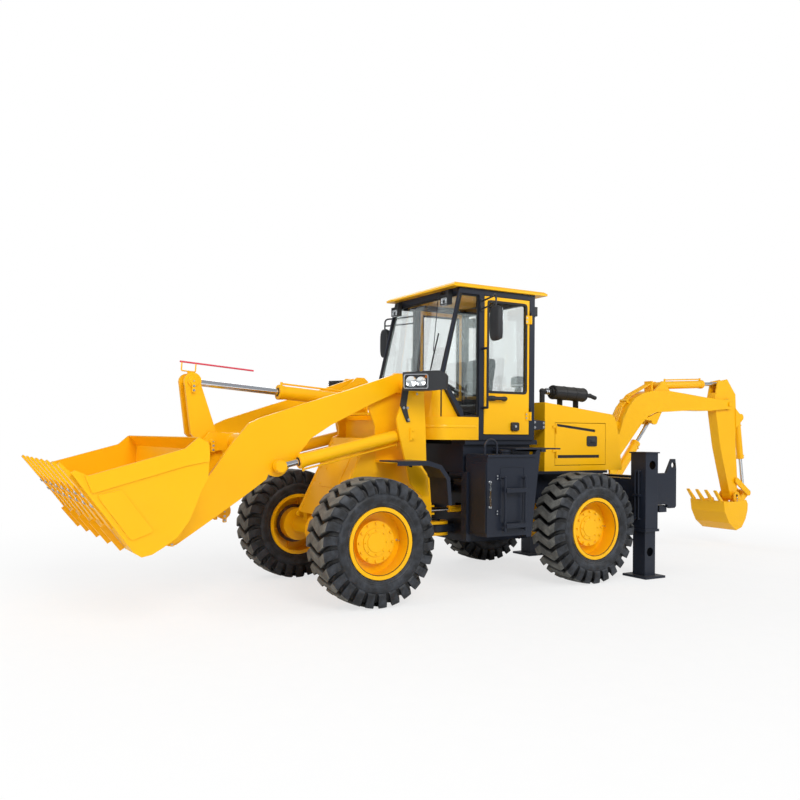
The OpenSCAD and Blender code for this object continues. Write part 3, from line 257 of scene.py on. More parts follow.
yellow = enamel("alkyd_enamel_yellow", "#F9B604", "#FCC00C", 0.32, 0.06)
charcoal = enamel("alkyd_enamel_charcoal", "#1B202B", "#232936", 0.38, 0.16)
clothe(yellow, "front_chassis", "front_axle", "rear_axle", "cowl", "roof", "hood", "hood_door_left",
       "hood_door_right", "door_left", "door_right", "loader_arms", "loader_bucket", "rocker", "bucket_link",
       "lift_barrels", "tilt_barrel", "steer_barrel", "swing_post", "boom", "boom_barrel", "stick", "stick_barrel",
       "hoe_barrel", "hoe_lever", "hoe_link", "hoe_bucket", "boom_lines", "rim_fl", "rim_fr", "rim_rl", "rim_rr")
clothe(charcoal, "rear_chassis", "cab_frame", "side_tanks", "stabilizer_frame", "leg_left", "leg_right",
       "carriage", "fenders", "hood_grille")

# -------- tyres
# Four bias-ply earthmover tyres, moulded rubber: 26 bars across the tread, each with two
# bends, their square ends hanging over the shoulder. The grooves' bottoms are painted near black as shade.

rubber, tree, shader = new_finish("moulded_tyre_rubber", "#26282B", 0.62, Specular_IOR_Level=0.4)
place = add(tree, "TexCoord").outputs["Object"]
dust = add(tree, "TexNoise", {"Scale": 11.0, "Detail": 8.0, "Roughness": 0.65}, Vector=place)
scuffs = add(tree, "MapRange", {"From Min": 0.40, "From Max": 0.66}, Value=dust.outputs["Fac"])
side_tone = add(tree, "MixRGB", {"Color1": linear("#17191C"), "Color2": linear("#363A41")}, Fac=scuffs.outputs[0])
top_tone = add(tree, "MixRGB", {"Color1": linear("#5C5C59"), "Color2": linear("#7C7C77")}, Fac=scuffs.outputs[0])
# Worn tops are pale and dull; the bottoms of the grooves are shinier, and painted near black as shade
worn = add(tree, "Attribute", {"attribute_name": "worn"}).outputs["Fac"]
groove_shade = add(tree, "Attribute", {"attribute_name": "groove_shade"}).outputs["Fac"]
tone = add(tree, "MixRGB", Fac=worn, Color1=side_tone.outputs[0], Color2=top_tone.outputs[0])
# Painted shade: the bottoms of the grooves are coloured near black
shaded_grooves = add(tree, "MixRGB", {"Color2": linear("#0B0C0E")}, Fac=groove_shade, Color1=tone.outputs[0])
tree.links.new(shaded_grooves.outputs[0], shader.inputs["Base Color"])
gloss(tree, shader, worn, 0.50, 0.85)
# Fine cross-hatching moulded into the tops of the bars, drawn 9 mm apart so that it shows
hatch = add(tree, "TexChecker", {"Scale": 110.0}, Vector=place)
shown = add(tree, "Math", {"operation": "MULTIPLY"}, _0=hatch.outputs["Fac"], _1=worn)
grit = add(tree, "TexNoise", {"Scale": 260.0, "Detail": 3.0}, Vector=place)
height = add(tree, "Math", {"operation": "ADD"}, _0=grit.outputs["Fac"], _1=shown.outputs[0])
relief(tree, shader, height.outputs[0], 0.35, 0.0012)

tyre_radius, bars = 0.589, 26
axle_x, wheel_y = 1.320, 0.878
wheels = [("fl", axle_x, 1), ("fr", axle_x, -1), ("rl", -axle_x, 1), ("rr", -axle_x, -1)]
# half section below the tread, from the shoulder to the bead: width and radius
tyre_side = [
    (0.1915, 0.446), (0.1985, 0.438), (0.2035, 0.427), (0.205, 0.414), (0.203, 0.398), (0.198, 0.382),
    (0.1935, 0.371), (0.1950, 0.366), (0.1925, 0.360), (0.186, 0.352), (0.185, 0.345), (0.180, 0.336),
    (0.166, 0.331)]
# half section from the middle plane to the bead: width and radius in a groove, then on a bar
tyre_half_section = np.array([
    (0.000, 0.548, 0.000, 0.589), (0.030, 0.548, 0.030, 0.589), (0.060, 0.547, 0.060, 0.5885),
    (0.078, 0.546, 0.078, 0.588), (0.105, 0.543, 0.108, 0.5868), (0.132, 0.537, 0.140, 0.5848),
    (0.152, 0.528, 0.168, 0.5815), (0.160, 0.521, 0.1705, 0.579), (0.169, 0.508, 0.188, 0.546),
    (0.176, 0.492, 0.1975, 0.512), (0.181, 0.476, 0.2012, 0.484), (0.185, 0.463, 0.2022, 0.468),
    (0.188, 0.453, 0.1998, 0.458)]
    + [2 * point for point in tyre_side])
edge_of_top = 0.169
# one pitch of the bars: phase, and share of the full height
bar_wave = np.array([(0.00, 1), (0.22, 1), (0.44, 1), (0.58, 1), (0.61, 0.96), (0.665, 0.05),
                     (0.69, 0), (0.90, 0), (0.925, 0.05), (0.985, 0.96)])


def tyre(x, y):
    """A tyre as a surface of the angle round it and the place along its section.

    The section goes from bead to bead, once as it is in a groove and once on a bar, and each
    point lies between the two by a trapezium wave of the angle. The phase of the wave follows
    a line with two bends across the tread, so that bars' edges are columns of the grid.
    Returns the surface, and for each point 1 where it is worn, and 1 in a groove, where shade is painted.
    """
    line = np.concatenate([tyre_half_section[:0:-1] * (-1, 1, -1, 1), tyre_half_section])
    groove_y, groove_r, bar_y, bar_r = line.T[:, None]
    pitch = 2 * math.pi / bars
    angle = (np.arange(bars)[:, None] + bar_wave[None, :, 0]).ravel() * pitch
    lift = np.tile(bar_wave[:, 1], bars)[:, None]
    a = angle[:, None] + np.interp(bar_y, [-0.20, -0.078, 0.078, 0.20], [0.42, -0.44, 0.44, -0.42]) * pitch * 0.62
    r, w = groove_r + lift * (bar_r - groove_r), groove_y + lift * (bar_y - groove_y)
    outer = np.stack([x + r * np.sin(a), y + w, tyre_radius + r * np.cos(a)], -1)
    inner_line = np.array([(0.164, 0.3065), (0.150, 0.3055), (-0.150, 0.3055), (-0.164, 0.3065)])
    ai = np.repeat(angle[:, None], len(inner_line), 1)
    inner_y, inner_r = inner_line.T
    inner = np.stack([x + inner_r * np.sin(ai), y + inner_y + 0 * ai, tyre_radius + inner_r * np.cos(ai)], -1)
    has_bars = bar_r - groove_r > 0.005
    worn = (lift > 0.9) & (np.abs(bar_y) < edge_of_top)
    # the groove mask marks where the painted shade goes
    groove_shade = (lift < 0.5) & has_bars
    rest = np.zeros((len(angle), len(inner_line)))
    marks = [np.concatenate([mark.astype(float), rest], 1).ravel() for mark in (worn, groove_shade)]
    return surface(np.concatenate([outer, inner], 1), loop_u=True, loop_v=True), marks


for name, x, s in wheels:
    form, marks = tyre(STEERING_PIN + x, s * wheel_y)
    made = piece("tyre_tread_" + name, [form], rubber, "wheel_" + name, smooth=28)
    for mark, values in zip(("worn", "groove_shade"), marks):
        made.data.attributes.new(mark, "FLOAT", "POINT").data.foreach_set("value", values)
    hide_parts("tyre_" + name)

# -------- cylinder rods
# The rods of all cylinders are ground steel bar with a hard chrome plate.
# The wiper seals leave a film of oil on them, so they are duller in places.

chrome, tree, shader = new_finish("hard_chrome", "#D9DCE0", 0.10, Metallic=1.0)
gloss(tree, shader, texture(tree, 14.0, 5.0), 0.07, 0.19)
clothe(chrome, "lift_rods", "tilt_rod", "steer_rod", "boom_rod", "stick_rod", "hoe_rod")

# -------- windows
# Screens, quarter panes and door panes: tinted glass, toughened, 6 mm thick.
# Each pane sits in a moulded rubber seal. Wiping leaves faint smears on it.

glass, tree, shader = new_finish("tinted_toughened_glass", "#D3E9E7", 0.02, Transmission_Weight=1.0,
                                 IOR=1.45, Alpha=0.22)
gloss(tree, shader, texture(tree, 5.0, 6.0), 0.01, 0.05)
clothe(glass, "cab_glass", "door_left_glass", "door_right_glass")

# -------- moulded plastic
# The console and steering column in the cab, the mirrors' shells and the housings of the lamps
# are injection moulded in black, with a fine grain, and screwed on.

plastic, tree, shader = new_finish("moulded_abs_black", "#1C1E21", 0.48)
mottle(tree, shader, texture(tree, 12.0, 5.0), "#1A1C1F", "#26282C")
edges = add(tree, "Bevel", {"samples": 4, "Radius": 0.004})
relief(tree, shader, texture(tree, 420.0, 2.0), 0.2, 0.0005, Normal=edges.outputs[0])
clothe(plastic, "controls", "mirrors", "lamps", "headlights")

# -------- seat
# A sprung pedestal inside a folded bellows is bolted to the floor. It carries two foam pads,
# covered with black vinyl that is sewn down in channels across them.


def P(x, y, z):
    """A point of the machine in the shared frame, its x measured from the steering hinge."""
    return np.array([STEERING_PIN + x, y, z], float)


def across(axis):
    """Two directions square to an axis and to each other."""
    a = unit(axis)
    one = unit(np.cross(a, (0, 0, 1) if abs(a[2]) < 0.9 else (1, 0, 0)))
    return one, np.cross(a, one)


def turned(place, axis, profile, sides=32, turn=0.0):
    """A turned form: place + d * axis + r * (cos t, sin t) across it, for each (d, r) of the profile.

    The form is closed: an end of the profile off the axis gets a flat disc, a radius of 0 there.
    """
    d, r = np.array(profile, float).T
    if r[0]:
        d, r = np.r_[d[0], d], np.r_[0.0, r]
    if r[-1]:
        d, r = np.r_[d, d[-1]], np.r_[r, 0.0]
    t = turn + np.linspace(0, 2 * math.pi, sides, endpoint=False)[:, None]
    one, two = across(axis)
    flat = np.cos(t)[..., None] * one + np.sin(t)[..., None] * two
    return surface(np.asarray(place) + d[None, :, None] * unit(axis) + r[None, :, None] * flat, loop_u=True)


def rounded(place, half, power=6.0, n=14, m=28, turn=0.0):
    """A rounded block: the surface |x/a|^p + |y/b|^p + |z/c|^p = 1, turned about the vertical."""
    u = np.linspace(-math.pi / 2, math.pi / 2, n)[:, None]
    v = np.linspace(0, 2 * math.pi, m, endpoint=False)[None]
    u, v = u + 0 * v, v + 0 * u
    d = np.stack([np.cos(u) * np.cos(v), np.cos(u) * np.sin(v), np.sin(u)], -1)
    r = (np.abs(d) ** power).sum(-1, keepdims=True) ** (-1 / power)
    p = d * r * half
    c, s = math.cos(turn), math.sin(turn)
    p = np.stack([p[..., 0] * c - p[..., 1] * s, p[..., 0] * s + p[..., 1] * c, p[..., 2]], -1)
    return surface(np.asarray(place) + p, loop_v=True)


vinyl, tree, shader = new_finish("embossed_vinyl_black", "#1D1F23", 0.44, Specular_IOR_Level=0.45)
mottle(tree, shader, texture(tree, 7.0, 4.0), "#191B1F", "#2A2D33")
relief(tree, shader, texture(tree, 300.0, kind="TexVoronoi", output="Distance"), 0.25, 0.0006)


def pad(name, middle, half, long_way, up_way, channels):
    """A crowned pad: directions d scaled by (|x|^5 + |y|^5 + |z|^2.6)^(-1/3.4), cut off at a cube.

    That is stretched to half sizes, less a groove exp(-(d/w)^2) at each channel and near both sides.
    """
    u, v = np.meshgrid(np.linspace(-math.pi / 2, math.pi / 2, 61),
                       np.linspace(0, 2 * math.pi, 120, endpoint=False), indexing="ij")
    d = np.stack([np.cos(u) * np.cos(v), np.cos(u) * np.sin(v), np.sin(u)], -1)
    r = (np.abs(d[..., 0]) ** 5 + np.abs(d[..., 1]) ** 5 + np.abs(d[..., 2]) ** 2.6) ** (-1 / 3.4)
    q = d * r[..., None]
    q /= np.maximum(1, np.abs(q).max(-1, keepdims=True))
    q = q * half
    for across_seam, depth, width in [(q[..., 0] - c, 0.011, 0.009) for c in channels] + [
            (np.abs(q[..., 1]) - half[1] * 0.62, 0.008, 0.008)]:
        on_face = np.abs(q[..., 2]) > 0.3 * half[2]
        q[..., 2] -= np.sign(q[..., 2]) * depth * np.exp(-(across_seam / width) ** 2) * on_face
    side_way = np.cross(up_way, long_way)
    form = surface(middle + q[..., :1] * long_way + q[..., 1:2] * side_way + q[..., 2:] * up_way, loop_v=True)
    made = piece(name, [form], vinyl, smooth=60)


pad("seat_cushion", P(-0.375, 0, 1.8455), (0.225, 0.238, 0.0535), np.array([1.0, 0, 0]), np.array([0, 0, 1.0]),
    (-0.10, 0.0, 0.10))
lean_back = unit(np.array([-0.075, 0, 0.521]))
pad("seat_back", P(-0.572, 0, 2.165), (0.250, 0.226, 0.052), lean_back, np.cross((0, 1.0, 0), lean_back),
    (-0.12, 0.0, 0.12))
folds = [(0.012 + 0.024 * k + e, r) for k in range(9) for e, r in ((0.0, 0.150), (0.012, 0.132))]
bellows = [(0.0, 0.150)] + folds + [(0.238, 0.155), (0.243, 0.155)]
pedestal = [turned(P(-0.400, 0, 1.5485), (0, 0, 1), bellows, 40),
            rounded(P(-0.395, 0, 1.787), (0.195, 0.200, 0.008), 8),
            rounded(P(-0.625, 0, 1.960), (0.012, 0.090, 0.160), 5)]
base = piece("seat_base", pedestal, plastic)
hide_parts("seat")

# -------- engine, muffler
# The engine is one cast iron block here, which stands on four feet. The muffler and the air
# cleaner are rolled sheet, welded, in black heat-proof paint.

cast, tree, shader = new_finish("cast_iron_grey", "#3B3E42", 0.62, Metallic=0.3)
sand = texture(tree, 160.0, 4.0)
mottle(tree, shader, sand, "#303337", "#474A4E")
relief(tree, shader, sand, 0.4, 0.001)
clothe(cast, "engine_block")
heatproof = enamel("heatproof_black", "#202226", "#2A2C30", 0.62, 0.25)
clothe(heatproof, "muffler")

# -------- eyes of the rods
# A cast steel eye is welded to the end of each chromed rod. It is sprayed with the machine,
# so it is yellow.


def two_tone(node, finish, middle, radius):
    """Gives a CAD node's faces within a radius of a point, seen from the side, another finish."""
    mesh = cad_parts[node].data
    mesh.materials.append(finish)
    middles = np.empty(len(mesh.polygons) * 3)
    mesh.polygons.foreach_get("center", middles)
    middles = middles.reshape(-1, 3)[:, [0, 2]]
    near = np.linalg.norm(middles - np.array(middle), axis=1) < radius
    mesh.polygons.foreach_set("material_index", near.astype(np.int32))


for node, x, z, radius in [("lift_rods", 2.089, 1.272, 0.075), ("tilt_rod", 2.762, 2.040, 0.070),
                           ("boom_rod", -3.850, 1.790, 0.06), ("stick_rod", -5.417, 2.349, 0.06),
                           ("hoe_rod", -5.880, 0.740, 0.05), ("steer_rod", 0.250, 0.780, 0.04)]:
    two_tone(node, yellow, (STEERING_PIN + x, z), radius)

# -------- glands of the cylinders
# A turned steel gland closes the end of each barrel and guides the rod. A ring of screws
# holds it, and a rubber wiper seal sits in its mouth.


def array(form, places):
    """Copies of one form moved to each of the places, joined."""
    points, faces = form
    places = np.atleast_2d(places)
    n = len(points)
    moved = (places[:, None] + points[None]).reshape(-1, 3)
    return moved, (np.arange(len(places))[:, None, None] * n + faces[None]).reshape(-1, faces.shape[1])


def bolts(places, axis, size):
    """Hexagon heads with a washer: two turned forms of 6 and 20 sides, at each place."""
    w, h = size, size * 0.62
    head = turned((0, 0, 0), axis, [(0, w), (h * 0.85, w), (h, w * 0.86)], 6, turn=0.3)
    washer = turned((0, 0, 0), axis, [(-0.001, w * 1.35), (0.0022, w * 1.35)], 20)
    return [array(head, places), array(washer, places)]


zinc, tree, shader = new_finish("zinc_plated_steel", "#B9BCC0", 0.32, Metallic=1.0)
gloss(tree, shader, texture(tree, 240.0, 3.0), 0.24, 0.46)
seal, tree, shader = new_finish("moulded_epdm_black", "#141517", 0.62)
relief(tree, shader, texture(tree, 500.0, 2.0), 0.15, 0.0004)

hoe_y = -0.45
# body, base pin and rod pin in side view, y, length to the gland, radius of barrel and of rod
glands = [
    ("lift_barrels", (0.740, 1.578), (2.089, 1.272), 0.548, 1.180, 0.062, 0.0310),
    ("lift_barrels", (0.740, 1.578), (2.089, 1.272), -0.548, 1.180, 0.062, 0.0310),
    ("tilt_barrel", (1.000, 1.905), (2.762, 2.040), 0.0, 0.866, 0.066, 0.0310),
    ("boom_barrel", (-3.040, 0.830), (-3.850, 1.790), hoe_y, 0.840, 0.056, 0.0281),
    ("stick_barrel", (-4.030, 2.275), (-5.417, 2.349), hoe_y, 0.880, 0.054, 0.0271),
    ("hoe_barrel", (-5.720, 1.860), (-5.880, 0.740), hoe_y, 0.600, 0.046, 0.0241)]
for k, (body, a, b, y, length, barrel, rod) in enumerate(glands):
    a, b = P(a[0], y, a[1]), P(b[0], y, b[1])
    way = unit(b - a)
    end = a + way * (length + 0.012)
    flange = turned(end, way, [(-0.022, barrel + 0.006), (-0.020, barrel + 0.008), (0.004, barrel + 0.008),
                               (0.006, barrel + 0.006), (0.006, rod + 0.014)], 40)
    one, two = across(way)
    t = np.arange(8)[:, None] * math.pi / 4
    screws = end + way * 0.006 + (np.cos(t) * one + np.sin(t) * two) * (barrel - 0.008)
    base = turned(a + way * 0.094, way, [(-0.010, barrel - 0.006), (-0.004, barrel + 0.004),
                                         (0.004, barrel + 0.004), (0.010, barrel - 0.006)], 40)
    piece(f"gland_{k}", [flange, base], yellow, body, smooth=30)
    piece(f"gland_screws_{k}", bolts(screws, way, 0.0075), yellow, body)
    wiper = turned(end, way, [(0.005, rod + 0.011), (0.011, rod + 0.009), (0.013, rod + 0.001)])
    piece(f"wiper_seal_{k}", [wiper], seal, body)

# -------- pins
# The pins are hardened steel. A cap and a keeper plate with two bolts hold each in its bores,
# and it is greased through a zinc plated nipple in its end.


def bent(corners, radius, steps=7):
    """A path through corners, each rounded: (1-t)^2 a + 2t(1-t) b + t^2 c from a radius before it."""
    c = np.asarray(corners, float)
    a, b, d = c[:-2], c[1:-1], c[2:]
    k = np.minimum(radius, 0.48 * np.minimum(np.linalg.norm(a - b, axis=1), np.linalg.norm(d - b, axis=1)))[:, None]
    p, q = b + unit(a - b) * k, b + unit(d - b) * k
    t = np.linspace(0, 1, steps)[None, :, None]
    arcs = (1 - t) ** 2 * p[:, None] + 2 * t * (1 - t) * b[:, None] + t ** 2 * q[:, None]
    return np.concatenate([c[:1], arcs.reshape(-1, 3), c[-1:]])


def ring_path(corners, radius, steps=6):
    """A closed path round some corners, each rounded off."""
    c = np.asarray(corners, float)
    return bent(np.concatenate([c[-1:], c, c[:1]]), radius, steps)[1:-1]


def slab(corners, normal, thick):
    """A flat plate with the outline through corners: two faces and the edge between them."""
    c = np.asarray(corners, float)
    n = len(c)
    up = unit(normal) * thick
    points = np.concatenate([c, c + up])
    k = np.arange(n)
    edge = np.stack([k, (k + 1) % n, (k + 1) % n + n, k + n], -1)
    return points, [*edge.tolist(), list(range(n))[::-1], list(range(n, 2 * n))]


# body, x, z, half length, radius of the cap, y midway between the pin's two ends
pin_ends = [
    ("front_frame", 0.700, 2.060, 0.660, 0.046, 0),
    ("arms", 3.060, 0.715, 0.486, 0.044, 0), ("arms", 2.600, 1.490, 0.191, 0.026, 0),
    ("rocker", 2.762, 2.040, 0.117, 0.034, 0), ("rocker", 2.460, 0.840, 0.117, 0.030, 0),
    ("loader_bucket", 2.940, 0.900, 0.083, 0.026, 0),
    ("swing_post", -2.960, 1.230, 0.136, 0.030, hoe_y), ("swing_post", -3.040, 0.830, 0.129, 0.022, hoe_y),
    ("stick", -5.560, 0.708, 0.120, 0.026, hoe_y)]
nipple = [(0.006, 0.006), (0.012, 0.006), (0.014, 0.0035), (0.022, 0.0035), (0.024, 0.005), (0.028, 0.004),
          (0.029, 0)]
caps, keepers, heads, nipples = ({end[0]: [] for end in pin_ends} for _ in range(4))
for body, x, z, y, r, middle in pin_ends:
    for s in (1, -1):
        out = (0, s, 0)
        at = P(x, middle + s * y, z)
        caps[body].append(turned(at, out, [(-0.004, r), (0.005, r), (0.008, r - 0.004)]))
        plate = at + np.array([(u, 0.008 * s, v) for u, v in
                               [(-0.020, -r * 0.5), (0.020, -r * 0.5), (0.020, -r - 0.070), (-0.020, -r - 0.070)]])
        keepers[body].append(slab(ring_path(plate, 0.012), out, 0.006))
        heads[body] += bolts(at + np.array([(0, 0.014 * s, -r - 0.012), (0, 0.014 * s, -r - 0.050)]), out, 0.0085)
        nipples[body].append(turned(at, out, nipple, 12))
for body in caps:
    piece("pin_caps_" + body, caps[body] + keepers[body], yellow, body)
    piece("pin_bolts_" + body, heads[body], zinc, body)
    piece("grease_nipples_" + body, nipples[body], zinc, body)

# -------- weld beads
# Where plates and bosses meet they are joined by a steel fillet. It is laid by hand, so its
# ripples show under the paint.


def frames(path):
    """Two directions across a path at each of its points, which don't twist along it."""
    along = unit(np.gradient(path, axis=0))
    one = np.empty_like(path)
    v = across(along[0])[0]
    for k, d in enumerate(along):
        v = v - d * (v @ d)
        v = one[k] = v / np.linalg.norm(v)
    return one, np.cross(along, one)


def tube(path, radius, sides=12):
    """A round bar along a path: path + radius * (cos t, sin t) across it, closed at both ends."""
    path = np.asarray(path, float)
    one, two = frames(path)
    r = np.broadcast_to(radius, len(path)).astype(float)
    path = np.concatenate([path[:1], path, path[-1:]])
    one, two = (np.concatenate([w[:1], w, w[-1:]]) for w in (one, two))
    r = np.concatenate([[0.0], r, [0.0]])
    t = np.linspace(0, 2 * math.pi, sides, endpoint=False)
    ring = np.cos(t)[None, :, None] * one[:, None] + np.sin(t)[None, :, None] * two[:, None]
    return surface(path[:, None] + r[:, None, None] * ring, loop_v=True)


def outline(y, corners):
    """Points (x, z) of a side view, set at y."""
    return [P(x, y, z) for x, z in corners]


def bead(path, radius=0.006, pitch=0.007):
    """A weld bead: a tube along a path, finely stepped, its radius rippled by a sine of the length."""
    path = np.asarray(path, float)
    length = np.concatenate([[0], np.cumsum(np.linalg.norm(np.diff(path, axis=0), axis=1))])
    s = np.arange(0, length[-1], pitch / 4)
    fine = np.stack([np.interp(s, length, path[:, k]) for k in range(3)], -1)
    return tube(fine, radius * (1 + 0.14 * np.sin(2 * math.pi * s / pitch)), 8)


def circle(middle, axis, radius, start=0.0, turn=2 * math.pi, n=48):
    """Points of an arc: middle + radius * (cos t, sin t) across an axis."""
    one, two = across(axis)
    t = start + np.linspace(0, turn, n)[:, None]
    return np.asarray(middle) + radius * (np.cos(t) * one + np.sin(t) * two)


beads = {"arms": [], "front_frame": [], "loader_bucket": [], "boom": [], "stick": []}
for s in (1, -1):
    beads["arms"] += [bead(circle(P(2.374, s * y, 1.495), (0, 1, 0), 0.077)) for y in (0.428, 0.162, 0.118)]
    beads["arms"] += [bead(circle(P(3.060, s * 0.472, 0.715), (0, 1, 0), 0.081))]
    beads["front_frame"] += [bead([P(1.076, s * 0.374, 1.533), P(1.471, s * 0.374, 0.763)], 0.007),
                             bead([P(0.567, s * 0.620, 1.316), P(0.810, s * 0.620, 1.316)])]
    beads["loader_bucket"] += [bead(outline(s * 1.128, [
        (3.02, 1.145), (3.119, 0.90), (3.216, 0.773), (3.322, 0.705), (3.404, 0.659), (3.474, 0.645)]))]
    beads["boom"] += [bead(circle(P(-5.400, hoe_y + s * 0.101, 2.045), (0, 1, 0), 0.060))]
    beads["stick"] += [bead(circle(P(-5.720, hoe_y + s * 0.072, 1.860), (0, 1, 0), 0.040))]
for body, made in beads.items():
    piece("weld_beads_" + body, made, yellow, body, smooth=60)

# -------- nose cover
# A flat steel cover on the sloping plate of the front frame, held by six bolts.
# Two more rows of six hold the plate itself.


def facing(v, k):
    """A vector, or its reverse, so that it points up axis k."""
    return v if v[k] > 0 else -v


slope = unit(P(1.470, 0, 0.760) - P(1.075, 0, 1.530))
outward = facing(unit(np.cross((0, 1, 0), slope)), 0)
top = P(1.075, 0, 1.530)
cover = [top + slope * d + (0, y, 0) for d, y in [(0.16, -0.21), (0.16, 0.21), (0.56, 0.21), (0.56, -0.21)]]
piece("nose_cover", [slab(ring_path(cover, 0.03), outward, 0.006)], yellow, "front_frame")
spots = [top + slope * d + outward * 0.006 + (0, y, 0) for d in (0.19, 0.36, 0.53) for y in (-0.185, 0.185)]
spots += [top + slope * d + (0, y, 0) for d in np.linspace(0.06, 0.80, 6) for y in (-0.33, 0.33)]
piece("nose_cover_bolts", bolts(spots, outward, 0.010), yellow, "front_frame")

# -------- headlights
# A clear polycarbonate lens over two aluminised reflectors and an amber turn lamp, held in the
# housing by a bright bezel. Three bolts fix the bracket on each side.


def rectangle(a0, a1, b0, b1):
    """The corners of a rectangle, as pairs (a, b)."""
    return [(a0, b0), (a1, b0), (a1, b1), (a0, b1)]


def strip(corners, radius, normal, width, depth):
    """A closed moulding round corners: a rectangle with cut corners, width across and depth up."""
    path = ring_path(corners, radius)
    along = unit(np.roll(path, -1, 0) - np.roll(path, 1, 0))
    side = unit(np.cross(along, normal))
    w, h, c = width / 2, depth, min(width, depth) * 0.22
    section = np.array([(-w, 0), (-w, h - c), (-w + c, h), (w - c, h), (w, h - c), (w, 0)])
    sideways = path[:, None] + section[None, :, :1] * side[:, None]
    return surface(sideways + section[None, :, 1:] * unit(normal), True, True)


lens_finish, tree, shader = new_finish("clear_polycarbonate", "#F4F8F8", 0.03, Transmission_Weight=1.0,
                                       IOR=1.49, Alpha=0.30)
relief(tree, shader, texture(tree, 60.0, 1.0), 0.10, 0.0004)
silver, tree, shader = new_finish("aluminised_reflector", "#E9ECEE", 0.08, Metallic=1.0)
relief(tree, shader, texture(tree, 70.0, kind="TexVoronoi", output="Distance"), 0.35, 0.002)
amber, tree, shader = new_finish("amber_polycarbonate", "#F08A12", 0.12, Transmission_Weight=0.45,
                                 Specular_IOR_Level=0.5)
relief(tree, shader, texture(tree, 45.0, kind="TexWave"), 0.3, 0.001)

half_height, bezel_edge = 0.066, 0.018
bowls, turn_lamps, lenses, bezels = [], [], [], []
for s in (1, -1):
    inner, outer = P(0.930, s * 0.770, 2.005), P(0.745, s * 0.960, 2.005)
    wide = np.linalg.norm(outer - inner)
    t = (outer - inner) / wide
    out = facing(unit(np.cross(t, (0, 0, 1))), 0)
    for u, r in [(0.085, 0.052), (0.180, 0.046)]:
        middle = inner + t * u + (0, 0, half_height)
        bowl = [(-0.0085, 0), (-0.0075, 0.010), (-0.005, 0.026), (-0.001, r - 0.002), (0.0, r), (-0.009, r)]
        bulb = [(-0.008, 0.007), (0.000, 0.007), (0.003, 0.004), (0.004, 0)]
        bowls.append(turned(middle, out, bowl, 40))
        lenses.append(turned(middle, out, bulb, 16))
    turn = math.atan2(t[1], t[0])
    at = inner + t * (wide - 0.034) + out * -0.003 + (0, 0, 0.112)
    turn_lamps.append(rounded(at, (0.013, 0.006, 0.014), 4, turn=turn))
    at = inner + t * (wide / 2) + out * 0.002 + (0, 0, half_height)
    lenses.append(rounded(at, (wide / 2 - 0.020, 0.009, 0.064), 7, 20, 56, turn=turn))
    corners = [inner + t * u + out * 0.003 + (0, 0, v) for u, v in
               rectangle(bezel_edge, wide - bezel_edge, 0, 2 * half_height)]
    bezels.append(strip(corners, 0.022, out, 0.012, 0.009))
piece("headlight_reflectors", bowls, silver, "front_frame")
piece("headlight_turn_lamps", turn_lamps, amber, "front_frame")
piece("headlight_lenses", lenses, lens_finish, "front_frame", smooth=50)
piece("headlight_bezels", bezels, silver, "front_frame")
spots = [P(x, s * 0.6615, z) for s in (1, -1) for x, z in [(0.787, 1.712), (0.842, 1.826), (0.800, 1.826)]]
heads = bolts(spots[:3], (0, 1, 0), 0.010) + bolts(spots[3:], (0, -1, 0), 0.010)
piece("headlight_bracket_bolts", heads, zinc, "front_frame")
spots = [P(0.7325, 0.6595, 1.606), P(0.7325, 0.6595, 1.532)]
heads = bolts(spots, (0, 1, 0), 0.010) + bolts([p * (1, -1, 1) for p in spots], (0, -1, 0), 0.010)
piece("lift_pin_keeper_bolts", heads, yellow, "front_frame")

# -------- work lamps
# Four square lamps under the roof's edges, two ahead and two behind. Each has a clear moulded
# lens, glued over an aluminised reflector with two rings.

reflect, lens = [], []
low, high = np.array(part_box("lamps"))
for s in (1, -1):
    for x, y, z, out in [(high[0] - 0.0015, 0.480, high[2] - 0.122, 1),
                         (low[0] + 0.0015, 0.5225, high[2] - 0.162, -1)]:
        half = (0.0035, 0.0465 if out < 0 else 0.054, 0.039)
        at = np.array([x, s * y, z])
        reflect.append(rounded(at - (out * 0.007, 0, 0), half, 8))
        lens.append(rounded(at, half, 8))
        reflect += [turned(at - (out * 0.004, 0, 0), (out, 0, 0), [(-0.002, r), (0.0012, r - 0.002)], 28)
                    for r in (0.034, 0.020)]
piece("work_lamp_reflectors", reflect, silver)
piece("work_lamp_lenses", lens, lens_finish, smooth=60)

# -------- window seals
# Moulded black rubber holds the glass. It is pressed round the panes of the doors and quarters,
# the front screen and the rear one, and shows as a raised lip.


def panel(x0, x1, y, z0, z1):
    """The corners of an upright rectangle at y."""
    return outline(y, rectangle(x0, x1, z0, z1))


cab_half, post_x = 0.622, -0.094
low, high = np.array(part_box("door_left_glass")) - (STEERING_PIN, 0, 0)
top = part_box("roof")[0][2] - 0.060
for s, body in [(1, "door_left"), (-1, "door_right")]:
    y = s * (cab_half - 0.004)
    corners = panel(low[0] + 0.006, high[0] - 0.006, y, low[2] + 0.006, high[2] - 0.006)
    inner = [p - (0, s * 0.030, 0) for p in corners]
    lips = [strip(line, 0.035, (0, s, 0), 0.026, depth) for line, depth in ((corners, 0.008), (inner, 0.006))]
    piece("window_seal_" + body, lips, seal, body)
quarter, screens = [], []
for s in (1, -1):
    y = s * (cab_half - 0.0235)
    corners = outline(y, [(post_x + 0.008, top - 0.010), (0.124, top - 0.010), (0.342, 2.140),
                          (0.100, 1.812), (0.096, 1.762), (post_x + 0.008, 1.762)])
    quarter.append(strip(corners, 0.012, (0, s, 0), 0.018, 0.007))
lean = unit(np.array([0.229, 0, 2.132 - top]))
face = facing(unit(np.cross((0, 1, 0), lean)), 0)
corners = [P(x, y, z) for x, y, z in [(0.146, -0.586, top - 0.012), (0.146, 0.586, top - 0.012),
                                      (0.369, 0.586, 2.148), (0.369, -0.586, 2.148)]]
screens.append(strip(corners, 0.030, face, 0.026, 0.008))
back_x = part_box("cab_glass")[0][0] - STEERING_PIN
